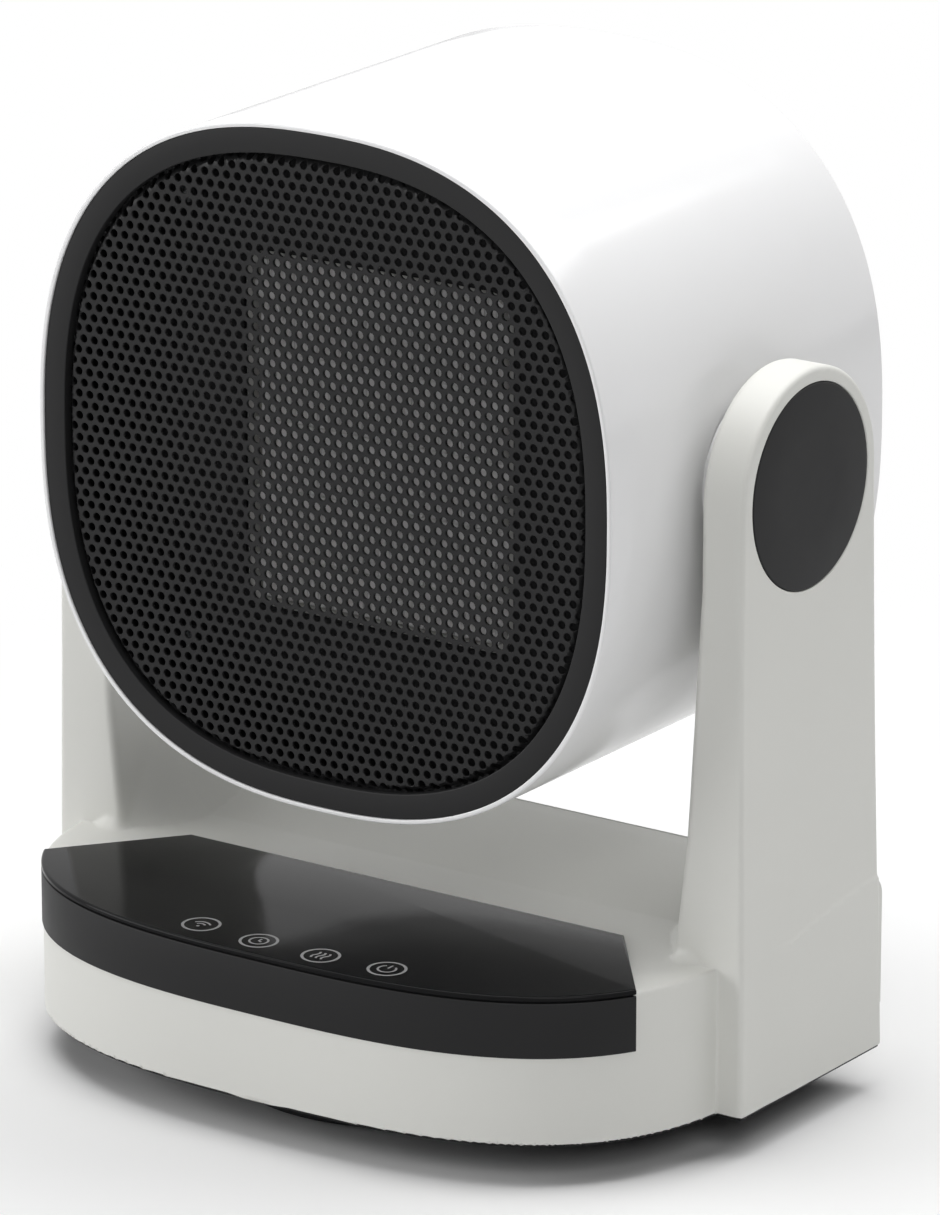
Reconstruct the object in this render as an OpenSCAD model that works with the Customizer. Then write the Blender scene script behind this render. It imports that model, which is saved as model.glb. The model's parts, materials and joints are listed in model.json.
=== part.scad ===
// Ceramic space heater on a U-shaped yoke: a squircle head with a PTC heating block tilts between
// two upright arms, and the base turns on a round foot. Millimetres, +Z up, front towards -Y.
// The origin is on the floor, under the middle of the whole heater's length and width. The pieces are
// laid out from the axis on which the base turns, and home() moves each one to that origin.

/* [Base] */
// Width across the outer faces of the arms at the bottom
base_w = 240; // [236:1:246]
// Height of the front of the base, from its underside to its top
front_h = 43.8; // [42:0.2:46]
// Height of the rear of the base between the arms
rear_h = 51; // [48:0.5:54]
// Gap between the floor and the underside of the base
foot_h = 12; // [12:0.5:14]
// Wall thickness of the base shell
wall = 2.5; // [2:0.1:3]

/* [Head] */
// Height of the tilt axis above the underside of the base
pivot_h = 176.5; // [176:0.5:182]
// Half of the head's width
head_a = 97.6; // [96:0.2:98]
// Half of the head's height
head_b = 98.9; // [97:0.1:100]
// Exponent of the head's squircle outline: 2 is an ellipse, larger is squarer
head_n = 2.46; // [2.3:0.02:2.7]
// Distance from the tilt axis to the front rim
head_front = 69; // [66:0.5:72]
// Distance from the tilt axis to the rear rim
head_rear = 70.5; // [66:0.5:72]
// Thickness of the barrel's wall
barrel_t = 2.5; // [2:0.1:3]

/* [Arms] */
// Radius of the rounded top of an arm
arm_r = 34; // [32:0.5:36]
// Radius of the dark cap over the pivot
cap_r = 29.4; // [28:0.2:30]
// Radius of the curve between an arm and the top of the base
saddle_r = 35.9; // [34:0.1:36.5]

/* [Control panel] */
// Height of the dark band on the front of the panel
band_h = 18.4; // [16:0.2:20]
// Half width of the panel along its back edge
panel_back = 75.8; // [70:0.2:80]
// Half width of the panel where its ends meet the curved front
panel_front = 103.2; // [100:0.2:105]

/* [Grille] */
// Distance between neighbouring holes of the front mesh
mesh_pitch = 7.5; // [7.5:0.5:9]
// Diameter of a hole in the front mesh
mesh_hole = 5.4; // [4:0.2:5.6]

/* [Fan and heater] */
// Radius of the fan, to the blade tips
fan_r = 57; // [52:0.5:58]
// Number of fan blades
blades = 7; // [5:1:9]
// Width of the heating block
ptc_w = 92; // [84:1:94]
// Height of the heating block
ptc_h = 105; // [94:1:108]

/* [Swivel] */
// Radius of the round foot
foot_r = 55; // [52:0.5:60]

/* [Hidden] */
$fn = 96;

white = [0.86, 0.86, 0.83];
gloss_white = [0.95, 0.95, 0.95];
dark = [0.16, 0.16, 0.17];
black = [0.05, 0.05, 0.055];
steel = [0.7, 0.71, 0.73];
zinc = [0.55, 0.56, 0.58];
green = [0.1, 0.35, 0.2];
nylon = [0.9, 0.88, 0.8];

// Places, measured from the floor and from the turning axis
base_z = foot_h;                 // underside of the base
seam = 0.5;                      // dark line of the bottom cover under the shell
front_z = base_z + front_h;      // top of the front of the base
rear_z = base_z + rear_h;        // top of the rear of the base
arm_y = -8;                      // front face of the arms
rear_y = 65.7;                   // rear face of the base and of the arms at the bottom
panel_t = 3;                     // thickness of the rear panel
pivot_y = 27;
pivot_z = base_z + pivot_h;
ramp_y = 17.5;                   // where the top between the arms starts to rise
ramp_end = 60;                   // where it levels off
out_top = base_w/2 - 2;          // outer face of an arm at the pivot
in_top = out_top - 14.4;         // inner face of an arm at the pivot
in_low = in_top - 3.3;           // inner face of an arm above the saddle
saddle_x = in_low - saddle_r;
saddle_z = front_z + saddle_r;
deck_z = front_z + 0.9 - band_h; // top of the deck under the control panel
cover_t = 2.5;                   // thickness of the arm's inner cover
cover_edge = 3.6;                // border of the shell round that cover
toe_r = 8;                       // curve where the top of the front meets the arms
cover_z = saddle_z + 4;          // lower edge of that cover
cavity_x = out_top - 3.4;        // outer wall of the hollow in an arm, at the pivot
plate_t = 2.5;                   // thickness of the bottom cover
post_z = base_z + 5;             // height of the bottom cover's screw bosses
fit = 0.05;                      // radial clearance of a running fit
gap = 0.15;                      // clearance between pieces that are clipped together

// Front outline of the base: a superellipse
front_a = base_w/2 - 7.7;
front_b = 89.7;
front_n = 2.84;
front_cy = 16.6;
panel_proud = 0.4;               // the panel stands this far out of the base's front

// The turning axis lies this far in front of the middle of the heater's length
home_y = (pivot_y + head_rear - (front_b - front_cy + panel_proud))/2;

// Panel
panel_z = front_z + 0.9;         // top of the panel
band_z = panel_z - band_h;       // lower edge of its band
panel_back_y = -1.3;
lens_t = 1.65;                   // the glossy sheet on top of it

// Trunnion
shaft_r = 12;
flange_r = 22;
boss_face = head_a + 0.8;        // outer face of the barrel's pivot boss
flange_face = boss_face + 3;
shaft_end = out_top - 5.4;
stop_r = 18.9;                   // radius on which the stop peg travels
peg_r = 1.9;
tilt_up = 45;
tilt_down = 20;

// Swivel drive: a fixed gear of 60 teeth and a pinion of 12 on the motor
gear_teeth = 60;
pinion_teeth = 12;
gear_module = 1;
gear_z = 19.5;
gear_t = 5;
gear_pitch_r = gear_module*gear_teeth/2;
pinion_pitch_r = gear_module*pinion_teeth/2;
drive_r = gear_pitch_r + pinion_pitch_r + 0.1;
drive_angle = 135;
swivel = 35;                     // the base turns this far to each side
lug_y = 46;
lug_r = 2.5;
spindle_r = 16;
motor_offset = 8;
motor_r = 14;
motor_z = 27.5;

// Fan, from front to rear, as distances behind the tilt axis
guide_front = -40.5;              // front of the heater's frame
ptc_t = 26;
duct_end = -10;
fan_front = 0;
fan_t = 24;
mount_y = 28;
motor_len = 30;

// ---- Outlines ----
function squircle(a, b, n, steps = 96) =
  [for (i = [0:steps-1]) let(t = 360*i/steps, c = cos(t), s = sin(t))
    [sign(c)*a*pow(abs(c), 2/n), sign(s)*b*pow(abs(s), 2/n)]];
function front_y(x, inset = 0) =
  front_cy - (front_b - inset)*pow(max(0, 1 - pow(abs(x)/(front_a - inset), front_n)), 1/front_n);
function front_edge(x0, x1, inset = 0, steps = 60) =
  [for (i = [0:steps]) let(u = -cos(180*i/steps), x = (x0 + x1)/2 + u*(x1 - x0)/2) [x, front_y(x, inset)]];
// Half width of the front outline where it meets the arms
function front_x(y, inset = 0) =
  (front_a - inset)*pow(1 - pow((front_cy - y)/(front_b - inset), front_n), 1/front_n);

module along_x(x0, x1) translate([x0, 0, 0]) rotate([90, 0, 90]) linear_extrude(x1 - x0) children();
module along_y(y0, y1) translate([0, y1, 0]) rotate([90, 0, 0]) linear_extrude(y1 - y0) children();
module up(z0, z1) translate([0, 0, z0]) linear_extrude(z1 - z0) children();
module both() { children(); mirror([1, 0, 0]) children(); }
module home() translate([0, -home_y, 0]) children();
module at_pivot() translate([0, pivot_y, pivot_z]) children();
module x_tube(x0, x1, r) translate([x0, 0, 0]) rotate([0, 90, 0]) cylinder(h = x1 - x0, r = r);
module y_tube(y0, y1, r) translate([0, y1, 0]) rotate([90, 0, 0]) cylinder(h = y1 - y0, r = r);
module ring(r1, r2) difference() { circle(r2); circle(r1); }
module rounded(w, h, r) hull() for (x = [-1, 1], y = [-1, 1])
  translate([x*(w/2 - r), y*(h/2 - r)]) circle(r, $fn = 32);
module slot(w, h) {
  square([w, h - w], center = true);
  for (s = [-1, 1]) translate([0, s*(h - w)/2]) circle(d = w);
}
// A pan-head screw that points down, with a cross slot
module screw(d, l, head_d) {
  difference() {
    translate([0, 0, 0]) cylinder(h = d*0.6, d = head_d, $fn = 32);
    for (a = [0, 90]) rotate(a) translate([-head_d*0.3, -d*0.12, d*0.3]) cube([head_d*0.6, d*0.24, d]);
  }
  translate([0, 0, -l]) cylinder(h = l, d = d, $fn = 32);
}

module front_plan(inset = 0) {
  hx = front_x(arm_y + 0.5, inset);
  polygon(concat(front_edge(-hx, hx, inset), [[hx, arm_y + 20], [-hx, arm_y + 20]]));
}
module base_plan(inset = 0) {
  front_plan(inset);
  translate([-base_w/2 + inset, arm_y + inset]) square([base_w - 2*inset, rear_y - arm_y - 2*inset]);
}
module panel_plan(inset = 0, proud = 0) {
  fx = panel_front - inset;
  polygon(concat(front_edge(-fx, fx, inset - proud),
    [[panel_back - inset*0.6, panel_back_y - inset], [-panel_back + inset*0.6, panel_back_y - inset]]));
}
// Side view of an arm: straight sides that close in slightly, and a round top
module arm_side(inset = 0, low = base_z + seam) {
  translate([pivot_y, pivot_z]) circle(arm_r - inset);
  polygon([[arm_y + inset, low], [rear_y - inset, low],
           [pivot_y + arm_r - inset, pivot_z], [pivot_y - arm_r + inset, pivot_z]]);
}
// Front view of the yoke's outside
module yoke_outside(inset = 0, low = base_z + seam) {
  side = [[base_w/2 - inset, low], [base_w/2 - 0.8 - inset, base_z + 45],
          [base_w/2 - 1.6 - inset, base_z + 95],
          [out_top - inset, base_z + 140], [out_top - inset, pivot_z + arm_r + 1]];
  polygon(concat(side, [for (i = [4:-1:0]) [-side[i][0], side[i][1]]]));
}
// Front view of the space between the arms; the covers are set back into it
module between_arms(cover = 0) {
  side = [[in_low, saddle_z], [in_low + 0.7, base_z + 103], [in_low + 1.6, base_z + 120],
          [in_top, base_z + 152], [in_top, pivot_z + arm_r + 2]];
  z0 = cover > 0 ? cover_z : 0;
  pts = [for (p = side) [p[0] + cover, max(p[1], z0)]];
  polygon(concat(pts, [for (i = [4:-1:0]) [-pts[i][0], pts[i][1]]]));
  if (cover == 0) {
    translate([-saddle_x, front_z]) square([2*saddle_x, saddle_r + 1]);
    for (s = [-1, 1]) translate([s*saddle_x, saddle_z]) circle(saddle_r);
  }
}
// Plan of the floor in front of the saddle, with round corners at the foot of each arm
module saddle_front() {
  corner_r = 25.5;
  cx = in_low - 1.3;
  difference() {
    translate([-cx, arm_y - 1]) square([2*cx, ramp_y - arm_y + 1]);
    for (s = [-1, 1]) translate([s*cx, arm_y + corner_r]) circle(corner_r);
  }
}
// Side view of the top between the arms; its rear edge is rounded
module ramp_side(inset = 0, low = front_z - 8) {
  r = 6;
  difference() {
    polygon([[arm_y + 4, low], [arm_y + 4, front_z - inset], [ramp_y, front_z - inset],
             [ramp_end, rear_z - inset], [rear_y + panel_t - inset, rear_z - inset],
             [rear_y + panel_t - inset, low]]);
    translate([rear_y + panel_t - r, rear_z - r]) difference() {
      square(r + 1);
      circle(r - inset);
    }
  }
}
// ---- Foot ----
module foot_plate() home() color(dark) difference() {
  union() {
    translate([0, 0, 1.4]) rotate_extrude() polygon([[0, 0], [foot_r - 2.5, 0], [foot_r, 2.5], [foot_r, 7.4],
      [foot_r - 1.5, 8.9], [0, 8.9]]);
    cylinder(h = 10.8, r = spindle_r + 4);
    // stop lug for the swivel, which runs in the bottom cover's slot
    translate([0, -lug_y, 8]) cylinder(h = base_z + 2 - 8, r = lug_r);
  }
  translate([0, 0, 1.3]) rotate_extrude() polygon([[24, 0], [foot_r - 14, 0], [foot_r - 15, 5], [25, 5]]);
  translate([0, 0, -1]) cylinder(h = 2.4, r = 22);
  translate([0, 0, -1]) cylinder(h = 20, r = 9);
  // groove for the glide ring
  translate([0, 0, 9.3]) linear_extrude(2) ring(33.9, 38.1);
  for (a = [45:90:315]) rotate(a) translate([foot_r - 9, 0, 0]) cylinder(h = 2.4, r = 6.05);
  for (a = [60:120:300]) rotate(a) translate([12.5, 0, 0]) {
    cylinder(h = 20, r = 1.4);
    cylinder(h = 4, r = 2.7);
  }
}
module glide_ring() home() color(nylon) up(9.3, base_z - 0.3) ring(34, 38);
module foot_pads() home() color([0.08, 0.08, 0.08])
  for (a = [45:90:315]) rotate(a) translate([foot_r - 9, 0, 0]) rotate_extrude()
    polygon([[0, 0], [5, 0], [6, 0.8], [6, 2.4], [0, 2.4]]);
module spindle() home() color(dark) difference() {
  translate([0, 0, 10.8]) union() {
    cylinder(h = gear_z - 10.8, r = spindle_r);
    cylinder(h = gear_z - 10.8 + gear_t, r = spindle_r - 3.05);
  }
  cylinder(h = 40, r = 9);
  for (a = [0:120:240]) rotate(a) translate([11, 0, gear_z - 4]) cylinder(h = 20, r = 0.85);
  for (a = [60:120:300]) rotate(a) translate([12.5, 0, 10]) cylinder(h = 5.5, r = 1.15);
}
module spindle_screws() home() color(zinc)
  for (a = [60:120:300]) rotate(a) translate([12.5, 0, 4]) mirror([0, 0, 1]) screw(2.2, 11, 5);
// Involute tooth flanks, from the base circle to the tip
function inv_angle(r, rb) = let(t = sqrt(max(0, pow(r/rb, 2) - 1))) t*180/PI - atan(t);
function gear_points(teeth, m, backlash, steps = 3) =
  let(rp = m*teeth/2, rb = rp*cos(20), ra = rp + 0.85*m, rf = rp - 1.25*m,
      half = 90/teeth - backlash/2/rp*180/PI + inv_angle(rp, rb), r0 = max(rb, rf + 0.05))
  [for (i = [0:teeth-1]) let(c = 360*i/teeth) each concat(
    [[rf, c - 180/teeth], [rf, c - half - 0.4]],
    [for (k = [0:steps]) let(r = r0 + (ra - r0)*k/steps) [r, c - half + inv_angle(r, rb)]],
    [for (k = [steps:-1:0]) let(r = r0 + (ra - r0)*k/steps) [r, c + half - inv_angle(r, rb)]],
    [[rf, c + half + 0.4]])];
module gear2d(teeth, m, backlash, turn = 0)
  polygon([for (p = gear_points(teeth, m, backlash)) p[0]*[cos(p[1] + turn), sin(p[1] + turn)]]);
module swivel_gear() home() color(nylon) difference() {
  up(gear_z, gear_z + gear_t) gear2d(gear_teeth, gear_module, 0.25);
  translate([0, 0, gear_z - 1]) cylinder(h = 10, r = spindle_r - 3);
  for (a = [0:60:300]) rotate(a) translate([22, 0, gear_z - 1]) cylinder(h = 10, r = 3.5);
}
module gear_retainer() home() color(steel) difference() {
  up(gear_z + gear_t, gear_z + gear_t + 1) ring(9, 17);
  for (a = [0:120:240]) rotate(a) translate([11, 0, gear_z]) cylinder(h = 20, r = 1);
}
module gear_screws() home() color(steel)
  for (a = [0:120:240]) rotate(a) translate([11, 0, gear_z + gear_t + 1]) screw(1.6, 5, 3.4);
// ---- Base ----
module base_shell() home() color(white) difference() {
  union() {
    difference() {
      base_outside();
      // notch for the control panel
      up(deck_z, front_z + 5) panel_plan(0, panel_proud);
      base_hollow();
      both() arm_hollow();
      // opening behind the rear panel
      along_y(rear_y - wall - 1, rear_y + 1) translate([-95, base_z + 16]) square([190, 26]);
    }
    deck();
    base_posts();
    both() at_pivot() difference() {
      x_tube(in_top + cover_t + 2.3, cavity_x + 1, 21.5);
      x_tube(0, base_w, 19);
    }
  }
  both() at_pivot() {
    x_tube(cavity_x - 1, base_w, 19);
    x_tube(out_top - 2.2, base_w, cap_r + 0.1);
  }
  for (p = rear_screw_places()) translate([p[0], 0, p[1]]) y_tube(rear_y - 9, rear_y + 1, 1.25);
  for (p = cover_screw_places()) translate([p[0], p[1], base_z]) cylinder(h = 16, r = 1.3);
  for (p = touch_posts()) translate([p[0], p[1], deck_z - 1]) cylinder(h = 20, r = 0.95);
  // holes in the deck for the wires and for the panel's screws
  translate([-20, -34, deck_z - 5]) cube([30, 8, 10]);
  for (p = panel_screw_places()) translate([p[0], p[1], deck_z - 5]) cylinder(h = 10, r = 1.4);
}
module base_outside() {
  up(base_z + seam, front_z) front_plan();
  difference() {
    intersection() {
      along_y(arm_y, rear_y) difference() {
        yoke_outside();
        between_arms();
      }
      along_x(-base_w/2, base_w/2) arm_side();
    }
    up(front_z, saddle_z) saddle_front();
    cover_room(cover_edge);
  }
  // the top of the front runs up into the arms in a curve
  both() intersection() {
    up(front_z - 1, front_z + toe_r) front_plan(1.5);
    along_x(in_low - 6, front_a) difference() {
      translate([arm_y - toe_r, front_z - 1]) square([toe_r + 4, toe_r + 1]);
      translate([arm_y - toe_r, front_z + toe_r]) circle(toe_r);
    }
  }
  intersection() {
    along_x(-base_w/2 + 2, base_w/2 - 2) ramp_side(0, base_z + seam);
    translate([-base_w/2, arm_y + 4, 0]) cube([base_w, rear_y - arm_y - 4, 200]);
  }
}
// Deck under the control panel
module deck() difference() {
  up(deck_z - 2.2, deck_z) front_plan(1);
  translate([-base_w/2, panel_back_y + wall, 0]) cube([base_w, 60, 200]);
}
// Posts for the screws of the bottom cover, the rear panel and the touch board
module base_posts() {
  for (p = cover_screw_places()) translate([p[0], p[1], post_z + 0.2]) {
    tall = p[1] < arm_y ? deck_z - 1 - post_z : 20;
    cylinder(h = tall, r = 3.8);
    if (p[1] > arm_y) translate([sign(p[0])*5.5, 0, 11]) cube([8, 2, 20], center = true);
  }
  for (p = rear_screw_places()) translate([p[0], 0, p[1]]) y_tube(rear_y - 9, rear_y - 1, 3.4);
  for (p = touch_posts()) translate([p[0], p[1], deck_z - 1])
    cylinder(h = panel_z - 9 - deck_z, r = 2.8);
}
function rear_screw_places() = [for (x = [-105, 105], z = [base_z + 18, base_z + 40]) [x, z]];
function touch_posts() = [[-38, -50], [48, -50]];
function panel_screw_places() = [[-80, -16], [80, -16], [0, -12]];
module base_hollow() {
  up(base_z - 1, deck_z - 2.2) front_plan(wall);
  up(base_z - 1, front_z - wall) intersection() {
    front_plan(wall);
    translate([-base_w/2, panel_back_y + wall]) square([base_w, 60]);
  }
  intersection() {
    translate([-base_w/2 + wall, arm_y + wall, base_z - 1])
      cube([base_w - 2*wall, rear_y - arm_y - 2*wall, 200]);
    along_x(-base_w/2, base_w/2) polygon([
      [arm_y, base_z - 1], [arm_y, front_z - wall], [ramp_y, front_z - wall],
      [ramp_end, rear_z - wall], [rear_y - wall, rear_z - wall], [rear_y - wall, base_z - 1]]);
    union() {
      up(base_z - 1, rear_z) square([2*(saddle_x + 6), 300], center = true);
      up(base_z - 1, front_z - wall) square([base_w, 300], center = true);
    }
  }
}
module arm_hollow() {
  intersection() {
    along_y(arm_y + wall, rear_y - wall) polygon([
      [in_low + 3.4, front_z - wall - 2], [base_w/2 - 4, front_z - wall - 2], [base_w/2 - 4.6, base_z + 95],
      [cavity_x, base_z + 140], [cavity_x, pivot_z + arm_r], [in_top + cover_t + 2, pivot_z + arm_r],
      [in_top + cover_t + 2, base_z + 152], [in_low + cover_t + 2.7, cover_z], [in_low + 3.4, cover_z - 4]]);
    along_x(0, base_w) arm_side(wall, base_z);
  }
  // window behind the cover, with a ledge for it all round
  intersection() {
    translate([in_low - 10, -200, cover_z + 2.5]) cube([18.8, 400, 300]);
    along_x(0, base_w) arm_side(cover_edge + 2.5);
  }
}
// Space that the arms' inner covers fill, this far inside the arms' edges
module cover_room(edge) intersection() {
  along_y(arm_y, rear_y) difference() {
    between_arms(cover_t);
    between_arms();
  }
  along_x(-base_w/2, base_w/2) arm_side(edge);
}
module arm_cover() color(white) difference() {
  intersection() {
    cover_room(cover_edge + gap);
    translate([0, -200, cover_z + gap]) cube(400);
  }
  at_pivot() {
    x_tube(0, base_w, 14);
    // arc slot for the stop peg
    rotate([0, 90, 0]) rotate(180 - tilt_up) arc_slot(stop_r, peg_r, tilt_up + tilt_down, 200);
  }
}
// Arc slot round an axis for a peg of radius r, which stands at radius r_mid and travels by sweep
module arc_slot(r_mid, r, sweep, h) {
  spare = asin((r + 0.4)/r_mid);
  rotate(-spare) rotate_extrude(angle = sweep + 2*spare)
    translate([r_mid - r - 0.4, 0]) square([2*r + 0.8, h]);
}
module arm_cover_right() home() arm_cover();
module arm_cover_left() home() mirror([1, 0, 0]) arm_cover();

module bottom_cover() home() color(black) {
  difference() {
    union() {
      up(base_z, base_z + seam - 0.05) base_plan(0.8);
      up(base_z, base_z + plate_t) base_plan(wall + gap);
      up(base_z, base_z + 6) difference() {
        base_plan(wall + gap);
        base_plan(wall + gap + 1.8);
      }
      translate([0, 0, base_z]) cylinder(h = 6.5, r = spindle_r + 4);
      for (p = cover_screw_places()) translate([p[0], p[1], base_z]) cylinder(h = post_z - base_z, r = 4.6);
      for (p = board_posts()) translate([p[0], p[1], base_z]) cylinder(h = board_z - base_z, r = 3.5);
      for (p = motor_posts()) translate([p[0], p[1], base_z]) cylinder(h = motor_z - base_z, r = 3.8);
    }
    translate([0, 0, base_z - 1]) cylinder(h = 20, r = spindle_r + fit);
    for (p = board_posts()) translate([p[0], p[1], base_z + 5]) cylinder(h = 40, r = 1.2);
    for (p = motor_posts()) translate([p[0], p[1], base_z + 5]) cylinder(h = 40, r = 1.2);
    for (p = cover_screw_places()) translate([p[0], p[1], base_z - 1]) {
      cylinder(h = 10, r = 1.6);
      cylinder(h = 3.4, r = 3.3);
    }
    // slot for the stop lug
    translate([0, 0, base_z - 1]) rotate(-90 - swivel) arc_slot(lug_y, lug_r, 2*swivel, 10);
    // air slots under the electronics
    for (i = [0:5]) translate([60 + i*7, 14, base_z - 1]) cube([3, 26, 10]);
  }
}
function cover_screw_places() = [[-108, 55], [108, 55], [-108, 4], [108, 4], [-62, -52], [62, -52]];
module bottom_screws() home() color(zinc)
  for (p = cover_screw_places()) translate([p[0], p[1], base_z + 2.4]) mirror([0, 0, 1]) screw(2.5, 11, 6);
board_z = 29;
function board_posts() = [[38, -2], [98, -2], [38, 54], [98, 54]];
function motor_centre() = (drive_r + motor_offset)*[cos(drive_angle), sin(drive_angle)];
function motor_posts() = [for (s = [-1, 1]) motor_centre() + s*17.5*[-sin(drive_angle), cos(drive_angle)]];

module rear_panel() home() color(white) difference() {
  intersection() {
    along_x(-base_w/2 + 2.5, base_w/2 - 2.5) ramp_side(0, base_z + 12);
    translate([-base_w/2, rear_y + 0.05, base_z + 12]) cube([base_w, 20, 100]);
  }
  translate([-84, 0, base_z + 28]) y_tube(rear_y - 1, rear_y + 5, 7);
  for (p = rear_screw_places()) translate([p[0], 0, p[1]]) {
    y_tube(rear_y - 1, rear_y + 5, 1.6);
    y_tube(rear_y + 1.5, rear_y + 5, 3.2);
  }
  // air slots
  for (i = [0:8]) along_y(rear_y - 1, rear_y + 5) translate([10 + i*8, base_z + 28]) slot(3, 20);
}
module rear_panel_screws() home() color(zinc)
  for (p = rear_screw_places())
    translate([p[0], rear_y + 1.5, p[1]]) rotate([-90, 0, 0]) screw(2.4, 8, 5.6);
module cord_gland() home() color(black) translate([-84, 0, base_z + 28]) difference() {
  union() {
    y_tube(rear_y - 10, rear_y + 3, 6.95);
    y_tube(rear_y + 3, rear_y + 6.5, 9);
    y_tube(rear_y - 3.4, rear_y - 0.1, 9);
  }
  y_tube(rear_y - 12, rear_y + 10, 3.7);
}
module terminal_block() home() color(nylon) translate([-84, 34, base_z + plate_t]) difference() {
  translate([-15, -9, 0]) cube([30, 18, 16]);
  for (i = [-1:1]) translate([i*9, 0, 8]) {
    rotate([90, 0, 0]) cylinder(h = 40, r = 2.2, center = true);
    cylinder(h = 20, r = 2.6);
  }
}

// ---- Control panel ----
module panel_housing() home() color(dark) difference() {
  union() {
    difference() {
      up(deck_z + 0.05, panel_z - lens_t - 0.05) panel_plan(0, panel_proud);
      up(deck_z - 1, panel_z - 3.6) panel_plan(2.6);
    }
    for (p = panel_screw_places()) translate([p[0], p[1], deck_z + 0.05])
      cylinder(h = panel_z - 3 - deck_z, r = 3.4);
  }
  for (p = panel_screw_places()) translate([p[0], p[1], deck_z - 1]) cylinder(h = 10, r = 1.15);
}
module panel_screws() home() color(zinc)
  for (p = panel_screw_places()) translate([p[0], p[1], deck_z - 2.25]) mirror([0, 0, 1]) screw(2.2, 9, 5);
module touch_lens() home() color(black) up(panel_z - lens_t, panel_z) panel_plan(0, panel_proud);
module touch_board() home() color(green) difference() {
  up(panel_z - 10, panel_z - 8.4) intersection() {
    panel_plan(3.4);
    translate([-46, -72]) square([102, 27]);
  }
  for (p = touch_posts()) translate([p[0], p[1], panel_z - 11]) cylinder(h = 4, r = 1.15);
}
module touch_screws() home() color(zinc)
  for (p = touch_posts()) translate([p[0], p[1], panel_z - 8.35]) screw(1.8, 6, 4);
// Four touch pads in a row that follows the front edge
function icon_place(i) = let(u = (i - 1.5)*21.4) [5 + u, -64.2 + u*u/515];
module touch_springs() home() color(steel)
  for (i = [0:3]) translate([icon_place(i)[0], icon_place(i)[1], panel_z - 8.4]) difference() {
    cylinder(h = 4.75, r = 4.6);
    translate([0, 0, -1]) cylinder(h = 8, r = 3.6);
  }
// ---- Electronics ----
module main_board() home() color(green) difference() {
  translate([33, -7, board_z]) cube([68, 66, 1.6]);
  for (p = board_posts()) translate([p[0], p[1], board_z - 1]) cylinder(h = 4, r = 1.5);
}
module board_parts() home() translate([0, 0, board_z + 1.6]) {
  color([0.1, 0.2, 0.5]) for (y = [6, 28]) translate([44, y, 0]) cube([19, 15.5, 15]);
  color(black) translate([74, 8, 0]) cylinder(h = 17, r = 6);
  color([0.8, 0.7, 0.2]) translate([84, 22, 0]) cube([12, 20, 13]);
  color(black) translate([66, 30, 0]) cube([10, 14, 2.4]);
}
module board_screws() home() color(steel) {
  for (p = board_posts()) translate([p[0], p[1], board_z + 1.6]) screw(2.2, 8, 5);
}
module tilt_switch() home() color(black) translate([-60, -34, base_z + plate_t]) {
  translate([-9, -7, 0]) cube([18, 14, 16]);
  translate([-13, -3, 0]) cube([26, 6, 2]);
}
module swivel_motor() home() color(steel) {
  c = motor_centre();
  difference() {
    union() {
      translate([c[0], c[1], motor_z + 0.8]) cylinder(h = 19, r = motor_r);
      up(motor_z, motor_z + 0.8) hull() for (p = motor_posts()) translate(p) circle(3.5, $fn = 32);
      up(motor_z, motor_z + 0.8) translate(c) circle(motor_r);
      translate([drive_r*cos(drive_angle), drive_r*sin(drive_angle), motor_z - 1.5])
        cylinder(h = 2, r = 4.5);
    }
    for (p = motor_posts()) translate([p[0], p[1], motor_z - 1]) cylinder(h = 3, r = 1.6);
    translate([drive_r*cos(drive_angle), drive_r*sin(drive_angle), motor_z - 2])
      cylinder(h = 12, r = 2.5 + fit);
  }
}
module swivel_motor_screws() home() color(zinc)
  for (p = motor_posts()) translate([p[0], p[1], motor_z + 0.8]) screw(2.2, 8, 5.4);
module motor_pinion() home() color(nylon)
translate([drive_r*cos(drive_angle), drive_r*sin(drive_angle), 0]) {
  up(gear_z - 0.4, gear_z + gear_t + 0.4) gear2d(pinion_teeth, gear_module, 0.25, drive_angle + 180);
  translate([0, 0, gear_z]) cylinder(h = motor_z + 9 - gear_z, r = 2.5);
}
// ---- Pivot ----
module pivot_bush() color(nylon) at_pivot() difference() {
  union() {
    x_tube(in_top - 0.1, shaft_end - 1.6, 13.95);
    x_tube(in_top + cover_t + 0.05, in_top + cover_t + 2.25, 20.5);
  }
  x_tube(0, 200, shaft_r + fit);
}
module pivot_bush_right() home() pivot_bush();
module pivot_bush_left() home() mirror([1, 0, 0]) pivot_bush();
module friction_washers() home() color(steel) both() at_pivot() difference() {
  x_tube(flange_face + 0.35, in_top - 0.1, 16);
  x_tube(0, 200, shaft_r + 0.4);
}
module pivot_cap() color(dark) at_pivot() {
  x_tube(out_top - 2.1, out_top - 0.4, cap_r);
  x_tube(out_top - 0.4, out_top, cap_r - 0.5);
  difference() {
    x_tube(out_top - 5, out_top - 2, 18.9);
    x_tube(out_top - 6, out_top - 2, 16.8);
  }
}
module pivot_cap_right() home() pivot_cap();
module pivot_cap_left() home() mirror([1, 0, 0]) pivot_cap();
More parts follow.
